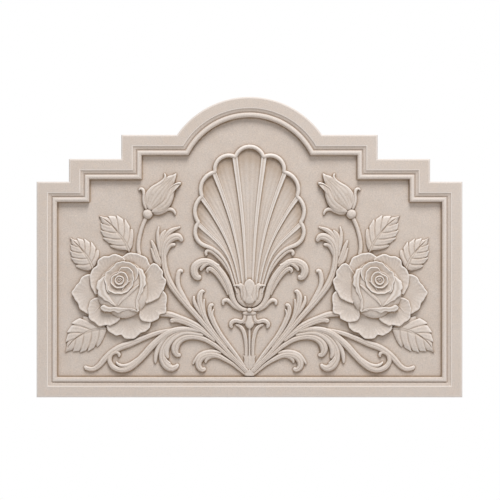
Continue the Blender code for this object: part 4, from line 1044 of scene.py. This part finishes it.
def add_leaf(carving, midrib, left_edge, right_edge):
    """Columns run from the midrib to an edge, bent back towards the base as half a sine. Along its
    share of the edge each lobe grows a tooth as the square of the way, leaning forward, and a notch
    is cut as a bell between two lobes. Veins are creases of one width between lobes."""
    lobes = len(LEAF_NOTCHES) - 1
    phase = np.linspace(0.0, lobes, lobes * LOBE_ROWS + 1)
    v = np.interp(phase, range(lobes + 1), LEAF_VEINS)
    w = np.interp(phase, range(lobes + 1), LEAF_NOTCHES)
    rib, left, right = (smooth_run(line) for line in (midrib, left_edge, right_edge))
    rib_length = run_length(rib)[-1]
    rib = resample(rib, v * rib_length)
    left, right = (resample(line, w * run_length(line)[-1]) for line in (left, right))
    ahead, left_run, right_run = (unit(np.gradient(line, axis=0)) for line in (rib, left, right))
    s = np.concatenate((-np.array(LEAF_COLUMNS[::-1]), [0.0], LEAF_COLUMNS))
    out = np.abs(s)
    ends = np.where(s[:, None] < 0, right[:, None], left[:, None])
    run = np.where(s[:, None] < 0, right_run[:, None], left_run[:, None])
    outward = np.stack((-run[..., 1], run[..., 0]), -1) * np.where(s < 0, -1, 1)[:, None]
    reach = ends - rib[:, None]
    wide = np.hypot(reach[..., 0], reach[..., 1])
    taper = np.sqrt(np.clip(wide / wide.max(), 0, 1))
    at_edge = [np.gradient(w * run_length(line)[-1], phase)[:, None] for line in (right, left)]
    at_rib = np.gradient(v * rib_length, phase)[:, None]
    apart = np.where(s < 0, *at_edge) * out + at_rib * (1 - out)
    phase, v = phase[:, None], v[:, None]
    local = phase - np.floor(phase)
    to_notch = phase - np.round(phase)
    inner = (np.round(phase) > 0) & (np.round(phase) < lobes)
    notch = inner * bell(to_notch, 0.09)
    tooth = LEAF_TOOTH * local ** 2 * (1 - ease((local - 0.9) / 0.1)) * (phase < lobes - 1)
    grown = (tooth - LEAF_NOTCH * notch) * taper * out ** 4
    bent = VEIN_BEND * taper * np.sin(math.pi * out) * ease(v * 6)
    place = rib[:, None] + reach * out[:, None]
    place = place + (outward * TOOTH_OUT + run * TOOTH_FORWARD) * grown[..., None]
    place = place - ahead[:, None] * bent[..., None]
    vein = inner * bell(to_notch * apart, 0.55) * ease(out / 0.15) * (1 - 0.6 * ease((out - 0.5) / 0.35))
    h = leaf_level(v, out, local, wide * out, taper, vein)
    groove = leaf_groove(v, out, wide * out, vein, notch)
    x, z = (np.hstack((grid, grid[:, -1:] * (1 - LEAF_TUCK) + grid[:, :1] * LEAF_TUCK,
                       grid[:, -1:] * LEAF_TUCK + grid[:, :1] * (1 - LEAF_TUCK)))
            for grid in (place[..., 0], place[..., 1]))
    h = np.hstack((h, np.full((len(v), 2), -ROOT_DEPTH)))
    carving.add(x, z, h, np.hstack((groove, np.zeros((len(v), 2)))))


def cut_midrib(v):
    """1 where the midrib is a groove, between the middle and the tip, and 0 elsewhere."""
    return ease((v - 0.35) / 0.2) * (1 - ease((v - 0.85) / 0.1))


def leaf_level(v, out, local, away, taper, vein):
    """A leaf's height. Across, it climbs out of the hollows beside a fine midrib, which turns into a
    groove towards the tip, and rounds off as the root of 1 - out^6. Along, each lobe is a pillow of
    1 - |2 local - 1|^3 with two flutes, softer towards the edge, and the veins are creases."""
    full = sizes().leaf
    upper = cut_midrib(v)
    edge = np.sqrt(np.clip(1 - out ** 6, 0, 1))
    pillow = 1 - np.abs(2 * local - 1) ** 3
    flutes = 0.5 + 0.5 * np.cos(local * 4 * math.pi)
    soft = 1 - 0.5 * ease((out - 0.5) / 0.4)
    h = full * (0.40 + 0.60 * edge) * (1 - 0.30 * out ** 2) * (0.62 + 0.38 * taper)
    h = h * (1 - LOBE_CUT * (1 - pillow) * ease(out / 0.2) * soft)
    h = h - full * LEAF_FLUTE_CUT * flutes * ease((out - 0.2) / 0.3) * edge
    h = h - full * VEIN_CUT * vein * edge
    h = h - full * MIDRIB_DROP * (1 - ease(away / 2.6))
    return h + full * bell(away, 0.6) * (MIDRIB_RISE * (1 - upper) - MIDRIB_CUT * upper)


def leaf_groove(v, out, away, vein, notch):
    """Painted shade in a leaf's veins, beside its midrib, in the midrib near the tip and in the
    notches; a painted highlight on its edge and on the rest of its midrib."""
    upper = cut_midrib(v)
    beside = bell(away - 1.2, 0.6) * (1 - 0.4 * upper) * (1 - ease((v - 0.75) / 0.15))
    groove = np.maximum(0.26 * vein, 0.50 * np.maximum(beside, upper * bell(away, 0.8)))
    groove = np.maximum(groove, 0.9 * notch * ease((out - 0.7) / 0.3))
    return groove - (0.5 * bell(out - 0.95, 0.06) + 0.5 * bell(away, 0.5) * (1 - upper)) * (1 - notch)


def unit(steps):
    """Steps along a line shortened to length 1."""
    return steps / np.maximum(np.hypot(steps[:, 0], steps[:, 1]), 1e-6)[:, None]


def make_leaves():
    """Three toothed and puffed leaves a side."""
    carving = Carving()
    for leaf in LEAVES:
        add_leaf(carving, *leaf)
    carving.build("leaves_right")
    carving.build("leaves_left", mirrored=True)


def outline(inset):
    """Corners of the panel's outline, moved in by inset: steps, then an arc of the arch's radius."""
    size = sizes()
    half = PANEL_WIDTH / 2 - inset
    shoulder = FOOT_Z + size.shoulder - inset
    first_half = half - size.first_tread
    first = shoulder + size.first_rise
    second_half = first_half - size.second_tread
    second = first + size.second_rise
    radius = size.arch_radius - inset
    centre = FOOT_Z + PANEL_HEIGHT - size.arch_radius
    spring = math.asin((second - centre) / radius)
    right = np.array([(half, FOOT_Z + inset), (half, shoulder), (first_half, shoulder),
                      (first_half, first), (second_half, first), (second_half, second)])
    angles = np.linspace(spring, math.pi - spring, ARCH_SEGMENTS + 1)
    arch = np.stack((radius * np.cos(angles), centre + radius * np.sin(angles)), -1)
    return np.vstack((right, arch, (right * (-1, 1))[::-1]))


def divide(ring, counts):
    """A closed ring with each of its sides cut into a number of equal parts."""
    side = np.roll(ring, -1, 0) - ring
    first = np.repeat(np.cumsum(counts) - counts, counts)
    share = (np.arange(counts.sum()) - first) / np.repeat(counts, counts)
    return np.repeat(ring, counts, 0) + np.repeat(side, counts, 0) * share[:, None]


def frame_section():
    """The frame's section as (inset, y, shade), where a shade above 0 is painted shade and one below 0 a
    painted highlight: a quarter-round arris, the fillet, the cove, a roll that rises as (sin a)^0.7, and
    the drop to the field."""
    size = sizes()
    front = -size.thickness
    groove = front + size.cove_depth
    start = size.fillet + size.cove
    rise = front + ROLL_BELOW - groove
    section = [(size.arris * (1 - math.cos(a)), front + size.arris * (1 - math.sin(a)), ARRIS_HIGHLIGHT)
               for a in np.linspace(0.0, math.pi / 2, 5)]
    section += [(size.arris + EDGE_WIDTH, front, 0.0), (size.fillet - 2.4 * EDGE_WIDTH, front, 0.0)]
    section += [(size.fillet - EDGE_WIDTH, front, EDGE_HIGHLIGHT)]
    section += [(size.fillet, front + 0.3 * EDGE_WIDTH, EDGE_HIGHLIGHT)]
    section += [(size.fillet + size.cove * share, front + size.cove_depth * depth, shade)
                for share, depth, shade in COVE_STEPS]
    # Painted shade at the roll's outer foot and a painted highlight on its outer slope and top; the field's
    # edge takes full painted shade
    section += [(start + size.roll * (1 - math.cos(a)) / 2, groove + rise * abs(math.sin(a)) ** 0.7,
                 0.55 * bell(a, 0.35) - 0.45 * bell(a - 1.2, 0.6)) for a in np.linspace(0.0, math.pi, 19)]
    return section + [(frame_width(), field_y(), 1.0)]


def make_slab():
    """The frame's section carried round the outline as rings, closed by the sawn back and by the
    bed under the field."""
    section = [(0.0, 0.0, 0.0), (0.0, -sizes().thickness * 0.5, 0.0)] + frame_section()
    # The bed under the field takes full painted shade.
    section.append((frame_width(), field_y() + SLAB_LAP, 1.0))
    outer = outline(0.0)
    counts = np.ceil(np.hypot(*(np.roll(outer, -1, 0) - outer).T) / RUN_SPACING).astype(int)
    rings = [divide(outline(inset), counts) for inset, _, _ in section]
    around = len(rings[0])
    corners = np.vstack([np.column_stack((ring[:, 0], np.full(around, level[1]), ring[:, 1]))
                         for ring, level in zip(rings, section)])
    groove = np.repeat([level[2] for level in section], around)
    index = np.arange(len(section) * around).reshape(len(section), around)
    near = index[:-1]
    far = index[1:]
    quads = np.stack((np.roll(near, -1, 1), near, far, np.roll(far, -1, 1)), -1).reshape(-1, 4)
    faces = quads.tolist() + [index[0].tolist(), index[-1][::-1].tolist()]
    make_piece("slab", corners, faces, groove, sharp=30.0)


def make_ground():
    """The field as one grid, stepped like the frame and drawn in under the arch, closed by one face
    behind. Its face carries long low waves and a fine seeded unevenness left by the chisel."""
    size = sizes()
    inset = frame_width() - GROUND_LAP
    half = PANEL_WIDTH / 2 - inset
    foot = FOOT_Z + inset
    shoulder = FOOT_Z + size.shoulder - inset
    first = shoulder + size.first_rise
    second = first + size.second_rise
    radius = size.arch_radius - inset
    centre = FOOT_Z + PANEL_HEIGHT - size.arch_radius
    crown = centre + radius * 0.999
    arch_half = math.sqrt(radius ** 2 - (second - centre) ** 2)
    halves = (arch_half, half - size.first_tread - size.second_tread, half - size.first_tread, half)
    levels = (foot, shoulder, first, second, crown)
    z = np.concatenate([even_steps(low, high)[:-1] for low, high in zip(levels, levels[1:])] + [[crown]])
    starts = (0.0,) + halves
    right = np.concatenate([even_steps(low, high)[:-1] for low, high in zip(starts, halves)] + [[half]])
    across = np.concatenate((-right[:0:-1], right))
    arch = np.sqrt(np.clip(radius ** 2 - (z - centre) ** 2, 0, None)) / arch_half
    x = across * np.where(z > second, arch, 1.0)[:, None]
    z = np.tile(z[:, None], (1, len(across)))
    widest = np.array(halves[::-1])[np.searchsorted(levels[1:-1], z[:-1, 0] + 1e-6)]
    kept = np.abs(across[:-1] + across[1:]) / 2 < widest[:, None]
    index = np.arange(x.size).reshape(x.shape)
    quads = np.stack((index[:-1, :-1], index[:-1, 1:], index[1:, 1:], index[1:, :-1]), -1)[kept]
    used, quads = np.unique(quads, return_inverse=True)
    quads = quads.reshape(-1, 4)
    x, z = x.ravel()[used], z.ravel()[used]
    chisel = np.random.default_rng(CHISEL_SEED).normal(0.0, 1.0, len(x))
    wave = np.sin(x * 110 + 1.3 * np.sin(z * 75)) + np.sin(z * 96 + x * 39)
    front = np.column_stack((x, field_y() - GROUND_WAVE * wave - CHISEL_MARKS * chisel, z))
    border = np.flatnonzero(np.bincount(quads.ravel(), minlength=len(x)) < 4)
    border = border[np.argsort(np.arctan2(z[border] - (foot + shoulder) / 2, x[border]))]
    back = front[border] * (1, 0, 1) + (0, field_y() + GROUND_LAP, 0)
    behind = len(x) + np.arange(len(border))
    walls = np.stack((np.roll(border, -1), border, behind, np.roll(behind, -1)), -1)
    faces = quads.tolist() + walls.tolist() + [behind[::-1].tolist()]
    corners = np.vstack((front, back))
    # The whole field takes the same painted shade.
    make_piece("ground", corners, faces, np.full(len(corners), GROUND_SHADE))


def even_steps(low, high):
    """Even steps of at most a ground cell from low to high."""
    return np.linspace(low, high, math.ceil((high - low) / GROUND_CELL) + 1)


def smooth_map(grid, width):
    """A height map blurred by a bell of the given width, through its Fourier transform."""
    rows, columns = grid.shape
    fz = np.fft.fftfreq(rows)[:, None]
    fx = np.fft.rfftfreq(columns)[None, :]
    bells = np.exp(-2 * (math.pi * width) ** 2 * (fz ** 2 + fx ** 2))
    return np.fft.irfft2(np.fft.rfft2(grid) * bells, s=grid.shape)


def spread_over(mesh, cell):
    """Points over the faces that look to the front, no further apart than a cell: on each face of
    four corners (1 - u)(1 - v) a + u (1 - v) b + u v c + (1 - u) v d, with u and v in equal steps."""
    corners = read_floats(mesh.vertices, "co", 3)
    facing = read_floats(mesh.polygons, "normal", 3)[:, 1] < 0.3
    start = np.empty(len(mesh.polygons), np.int32)
    total = np.empty(len(mesh.polygons), np.int32)
    loops = np.empty(len(mesh.loops), np.int32)
    mesh.polygons.foreach_get("loop_start", start)
    mesh.polygons.foreach_get("loop_total", total)
    mesh.loops.foreach_get("vertex_index", loops)
    small = facing & (total <= 4)
    turn = np.minimum(np.arange(4), total[small, None] - 1)
    faces = corners[loops[start[small, None] + turn]]
    longest = np.sqrt(((np.roll(faces, -1, 1) - faces) ** 2).sum(2).max(1))
    parts = np.clip(np.ceil(longest / cell), 1, 12).astype(int)
    points = []
    for count in np.unique(parts):
        u, v = np.meshgrid(np.linspace(0, 1, count + 1), np.linspace(0, 1, count + 1))
        weights = np.stack(((1 - u) * (1 - v), u * (1 - v), u * v, (1 - u) * v)).reshape(4, -1)
        points.append(np.einsum("fcx,cs->fsx", faces[parts == count], weights).reshape(-1, 3))
    return np.vstack(points)


def read_floats(items, name, width=1):
    """One attribute of a mesh's corners or faces as an array."""
    values = np.empty(len(items) * width, np.float32)
    items.foreach_get(name, values)
    return values.reshape(-1, width) if width > 1 else values


def paint_shade_and_highlights(pieces):
    """Writes the attributes hollow and crest, 0 to 1, on every piece: painted shade and painted
    highlight. A height map takes the highest surface in each small cell. A corner gets painted shade by
    how far it lies below three blurs of the map, read a little above it so that what lies under a form
    is darker as if in its shadow, and where its own grooves are shaded; it gets a painted highlight by
    how far it lies above the first two blurs and where its groove is below 0, and every carved face
    gets some. The slab has only its own painted shades and highlights."""
    low = np.array((NODE_LOW.x, NODE_LOW.z)) - MAP_MARGIN
    spans = (PANEL_HEIGHT + 2 * MAP_MARGIN, PANEL_WIDTH + 2 * MAP_MARGIN)
    height = np.zeros([int(span / MAP_CELL) + 1 for span in spans])

    def cells(points):
        return tuple(((points[:, (2, 0)] - low[::-1]) / MAP_CELL).astype(int).T)

    ground = [piece for piece in pieces if piece.name == "ground"]
    carved = [piece for piece in pieces if piece.name != "ground"]
    for piece in ground + carved:
        points = spread_over(piece.data, MAP_CELL)
        level = -points[:, 1] - sizes().thickness
        if piece in ground:
            height[cells(points)] = level
        else:
            np.maximum.at(height, cells(points), level)
    surroundings = [(smooth_map(height, width), depth, above, weight)
                    for width, depth, above, weight in MAP_BLURS]
    for piece in pieces:
        mesh = piece.data
        corners = read_floats(mesh.vertices, "co", 3)
        groove = read_floats(mesh.attributes["groove"].data, "value")
        own = -corners[:, 1] - sizes().thickness
        cut = np.clip(groove, 0, 1)
        # Reading the map a little above each corner gives the undersides of forms a painted shadow from
        # above
        below = [(surface[cells(corners + (0, 0, above))] - own) / depth
                 for surface, depth, above, _ in surroundings]
        open_share = 1 - CUT_WEIGHT * cut
        for depth, (_, _, _, weight) in zip(below, surroundings):
            open_share = open_share * (1 - weight * np.clip(depth, 0, 1))
        hollow = 1 - open_share
        crest = np.clip(-below[0] - NEAR_CREST, 0, 1) * (1 - cut) - np.minimum(groove, 0)
        crest = crest + MIDDLE_CREST_WEIGHT * np.clip(-below[1] - MIDDLE_CREST, 0, 1)
        # Every carved face takes some painted light.
        if piece in carved:
            crest = crest + CARVED_CREST
        if piece.name == "slab":
            hollow = SLAB_CUT_WEIGHT * cut
            crest = -groove
        for name, value in (("hollow", hollow), ("crest", crest)):
            value = np.clip(value, 0.0, 1.0).astype(np.float32)
            mesh.attributes.new(name, "FLOAT", "POINT").data.foreach_set("value", value)
        mesh.attributes.remove(mesh.attributes["groove"])


class Link:
    """A shader socket that adds Math nodes when it is used in an expression."""

    def __init__(self, nodes, socket):
        self.nodes = nodes
        self.socket = socket

    def math(self, operation, first, second):
        return self.nodes.add("ShaderNodeMath", {"operation": operation}, first, second)["Value"]

    def __add__(self, other):
        return self.math("ADD", self, other)

    def __radd__(self, other):
        return self.math("ADD", other, self)

    def __sub__(self, other):
        return self.math("SUBTRACT", self, other)

    def __rsub__(self, other):
        return self.math("SUBTRACT", other, self)

    def __mul__(self, other):
        return self.math("MULTIPLY", self, other)

    def __rmul__(self, other):
        return self.math("MULTIPLY", other, self)


class Nodes:
    """Adds nodes to a tree: settings first, then the values or links of the inputs."""

    def __init__(self, tree):
        self.tree = tree
        self.tree.nodes.clear()

    def add(self, kind, settings=None, *values, **named):
        node = self.tree.nodes.new(kind)
        for key, value in (settings or {}).items():
            setattr(node, key, value)
        for number, value in enumerate(values):
            self.put(node.inputs[number], value)
        for key, value in named.items():
            self.put(node.inputs[key.replace("_", " ")], value)
        return {socket.name: Link(self, socket) for socket in node.outputs if socket.enabled}

    def put(self, socket, value):
        if isinstance(value, Link):
            self.tree.links.new(value.socket, socket)
        else:
            socket.default_value = value

    def mix(self, factor, first, second, blend="MIX"):
        """Two colours mixed: inputs 6 and 7 and output 2 are the mix node's colour sockets."""
        node = self.tree.nodes.new("ShaderNodeMix")
        node.data_type = "RGBA"
        node.blend_type = blend
        self.put(node.inputs["Factor"], factor)
        self.put(node.inputs[6], first)
        self.put(node.inputs[7], second)
        return Link(self, node.outputs[2])

    def noise(self, place, scale, detail, roughness):
        """Soft noise over a place, 0 to 1."""
        values = {"Vector": place, "Scale": scale, "Detail": detail, "Roughness": roughness}
        return self.add("ShaderNodeTexNoise", {}, **values)["Fac"]

    def clamp(self, value):
        return self.add("ShaderNodeClamp", {}, value)["Result"]


def stone_material():
    """Fine-grained limestone: soft clouds of two tints, fine grain and flecks, painted shade with dust in
    the hollows, painted highlight on the crests, and a fine relief."""
    if "panel_stone" in bpy.data.materials:
        return bpy.data.materials["panel_stone"]
    material = bpy.data.materials.new("panel_stone")
    material.use_nodes = True
    nodes = Nodes(material.node_tree)
    colour = colours()
    place = nodes.add("ShaderNodeTexCoord")["Object"]
    hollow = nodes.add("ShaderNodeAttribute", {"attribute_name": "hollow"})["Fac"]
    crest = nodes.add("ShaderNodeAttribute", {"attribute_name": "crest"})["Fac"]
    clouds = nodes.noise(place, CLOUD_SCALE, 5.0, 0.6)
    mottle = nodes.noise(place, MOTTLE_SCALE, 4.0, 0.65)
    grain = nodes.noise(place, GRAIN_SCALE, 3.0, 0.7)
    fleck = nodes.add("ShaderNodeTexVoronoi", {"feature": "F1"}, Vector=place, Scale=FLECK_SCALE)["Distance"]
    tint = nodes.clamp((clouds - 0.5) * CLOUD_TINT + (mottle - 0.5) * MOTTLE_TINT + TINT_MIDDLE)
    stone = nodes.mix(tint, (*colour.stone, 1), (*colour.warm, 1))
    light = 1.0 + (grain - 0.5) * GRAIN_LIGHT + (mottle - 0.5) * MOTTLE_LIGHT \
        - (FLECK_REACH - fleck) * FLECK_LIGHT
    shade = nodes.add("ShaderNodeCombineColor", {}, light, light, light)["Color"]
    open_face = nodes.mix(1.0, stone, shade, blend="MULTIPLY")
    # Painted shade, with dust, where the hollow attribute is high, and painted highlight where the crest
    # attribute is
    shade_and_dust = nodes.clamp(hollow * (SHADE_AND_DUST + (mottle - 0.5) * SHADE_AND_DUST_MOTTLE))
    highlit = nodes.mix(nodes.clamp(crest * PAINTED_HIGHLIGHT), open_face, (*colour.crest, 1))
    base = nodes.mix(shade_and_dust, highlit, (*colour.hollow, 1))
    rough = ROUGHNESS + (mottle - 0.5) * MOTTLE_ROUGHNESS + shade_and_dust * DUST_ROUGHNESS
    bumps = mottle * 0.35 + grain * 0.65
    normal = nodes.add("ShaderNodeBump", {}, Strength=BUMP_STRENGTH, Distance=BUMP_DEPTH,
                       Height=bumps)["Normal"]
    shader = nodes.add("ShaderNodeBsdfPrincipled", {}, Base_Color=base, Roughness=rough, Normal=normal)
    nodes.add("ShaderNodeOutputMaterial", {}, shader["BSDF"])
    return material


def make_stage():
    """A pale floor below the panel, a broad light above the front, soft fill, and the camera straight
    in front with a long lens."""
    z = FOOT_Z - FLOOR_DROP
    corners = [(-FLOOR_HALF_WIDTH, -FLOOR_FRONT, z), (FLOOR_HALF_WIDTH, -FLOOR_FRONT, z),
               (FLOOR_HALF_WIDTH, FLOOR_BACK, z), (-FLOOR_HALF_WIDTH, FLOOR_BACK, z)]
    mesh = bpy.data.meshes.new("floor")
    mesh.from_pydata(corners, [], [(0, 1, 2, 3)])
    material = bpy.data.materials.new("floor_paint")
    material.use_nodes = True
    nodes = Nodes(material.node_tree)
    shader = nodes.add("ShaderNodeBsdfPrincipled", {}, Base_Color=(*colours().floor, 1),
                       Roughness=FLOOR_ROUGHNESS)
    nodes.add("ShaderNodeOutputMaterial", {}, shader["BSDF"])
    mesh.materials.append(material)
    floor = bpy.data.objects.new("floor", mesh)
    bpy.context.scene.collection.objects.link(floor)
    for light in LIGHTS:
        add_light(*light)
    world = bpy.data.worlds.new("studio")
    bpy.context.scene.world = world
    world.use_nodes = True
    sky = Nodes(world.node_tree)
    seen = sky.add("ShaderNodeLightPath")["Is Camera Ray"]
    soft = sky.add("ShaderNodeBackground", {}, Color=(1, 1, 1, 1), Strength=SKY_STRENGTH)["Background"]
    white = sky.add("ShaderNodeBackground", {}, Color=(1, 1, 1, 1),
                    Strength=BACKDROP_STRENGTH)["Background"]
    both = sky.add("ShaderNodeMixShader", {}, seen, soft, white)["Shader"]
    sky.add("ShaderNodeOutputWorld", {}, both)
    add_camera()


def add_light(name, place, size, power):
    """A square soft light aimed at the panel's middle."""
    lamp = bpy.data.lights.new(name, "AREA")
    lamp.shape = "SQUARE"
    lamp.size = size
    lamp.energy = power
    light = bpy.data.objects.new(name, lamp)
    light.location = place
    x, y, z = place
    flat = math.hypot(x, y)
    light.rotation_euler = (math.atan2(flat, z), 0.0, math.atan2(x, -y))
    bpy.context.scene.collection.objects.link(light)


def add_camera():
    """A long lens square to the front. Its length is sensor width x distance / picture width."""
    view = bpy.data.cameras.new("camera")
    view.sensor_width = SENSOR_WIDTH
    view.lens = SENSOR_WIDTH * CAMERA_DISTANCE / PICTURE_WIDTH
    camera = bpy.data.objects.new("camera", view)
    camera.location = (CAMERA_ASIDE, -sizes().thickness - CAMERA_DISTANCE, CAMERA_UP)
    camera.rotation_euler = (math.pi / 2, 0.0, 0.0)
    bpy.context.scene.collection.objects.link(camera)
    bpy.context.scene.camera = camera
    bpy.context.scene.view_settings.view_transform = "Standard"


class TYMPANUM_OT_slab(bpy.types.Operator):
    """Make the moulded slab and its sunk field"""

    bl_idname = "tympanum.slab"
    bl_label = "Slab and Field"

    def execute(self, context):
        make_slab()
        make_ground()
        return {"FINISHED"}


class TYMPANUM_OT_shell(bpy.types.Operator):
    """Make the scalloped shell"""

    bl_idname = "tympanum.shell"
    bl_label = "Shell"

    def execute(self, context):
        make_shell()
        return {"FINISHED"}


class TYMPANUM_OT_centre(bpy.types.Operator):
    """Make the tulip bud, collar, pendant and foot"""

    bl_idname = "tympanum.centre"
    bl_label = "Bud and Pendant"

    def execute(self, context):
        make_axis_ornament()
        return {"FINISHED"}


class TYMPANUM_OT_scrolls(bpy.types.Operator):
    """Make the acanthus scrolls and stems"""

    bl_idname = "tympanum.scrolls"
    bl_label = "Scrolls"

    def execute(self, context):
        make_scrolls()
        return {"FINISHED"}


class TYMPANUM_OT_roses(bpy.types.Operator):
    """Make the two open roses"""

    bl_idname = "tympanum.roses"
    bl_label = "Roses"

    def execute(self, context):
        make_roses()
        return {"FINISHED"}


class TYMPANUM_OT_rosebuds(bpy.types.Operator):
    """Make the two rosebuds"""

    bl_idname = "tympanum.rosebuds"
    bl_label = "Rosebuds"

    def execute(self, context):
        make_rosebuds()
        return {"FINISHED"}


class TYMPANUM_OT_leaves(bpy.types.Operator):
    """Make the six leaves"""

    bl_idname = "tympanum.leaves"
    bl_label = "Leaves"

    def execute(self, context):
        make_leaves()
        return {"FINISHED"}


class TYMPANUM_OT_hollows(bpy.types.Operator):
    """Paint shade into the carving's hollows and under its forms, and highlights onto its crests"""

    bl_idname = "tympanum.hollows"
    bl_label = "Shade Hollows"

    def execute(self, context):
        meshes = [piece for piece in context.scene.objects if piece.type == "MESH"]
        paint_shade_and_highlights([piece for piece in meshes if "groove" in piece.data.attributes])
        return {"FINISHED"}


class TYMPANUM_OT_stage(bpy.types.Operator):
    """Make the floor, the lights and the camera"""

    bl_idname = "tympanum.stage"
    bl_label = "Stage"

    def execute(self, context):
        make_stage()
        return {"FINISHED"}


class TYMPANUM_PT_panel(bpy.types.Panel):
    """Lists the pieces and their sizes and colours"""

    bl_idname = "TYMPANUM_PT_panel"
    bl_label = "Tympanum Panel"
    bl_space_type = "VIEW_3D"
    bl_region_type = "UI"
    bl_category = "Tympanum"

    def draw(self, context):
        for operator in OPERATORS:
            self.layout.operator(operator.bl_idname)
        for group in (context.scene.panel_sizes, context.scene.panel_colours):
            box = self.layout.box()
            for name in group.__annotations__:
                box.prop(group, name)


OPERATORS = (TYMPANUM_OT_slab, TYMPANUM_OT_shell, TYMPANUM_OT_centre, TYMPANUM_OT_scrolls,
             TYMPANUM_OT_roses, TYMPANUM_OT_rosebuds, TYMPANUM_OT_leaves, TYMPANUM_OT_hollows,
             TYMPANUM_OT_stage)
CLASSES = (PanelSizes, PanelColours) + OPERATORS + (TYMPANUM_PT_panel,)


def register():
    for item in CLASSES:
        bpy.utils.register_class(item)
    bpy.types.Scene.panel_sizes = PointerProperty(type=PanelSizes)
    bpy.types.Scene.panel_colours = PointerProperty(type=PanelColours)


def unregister():
    del bpy.types.Scene.panel_colours
    del bpy.types.Scene.panel_sizes
    for item in reversed(CLASSES):
        bpy.utils.unregister_class(item)


def main():
    """Make every piece in order."""
    register()
    bpy.ops.tympanum.slab()
    bpy.ops.tympanum.shell()
    bpy.ops.tympanum.centre()
    bpy.ops.tympanum.scrolls()
    bpy.ops.tympanum.roses()
    bpy.ops.tympanum.rosebuds()
    bpy.ops.tympanum.leaves()
    bpy.ops.tympanum.hollows()
    bpy.ops.tympanum.stage()


if __name__ == "__main__":
    main()
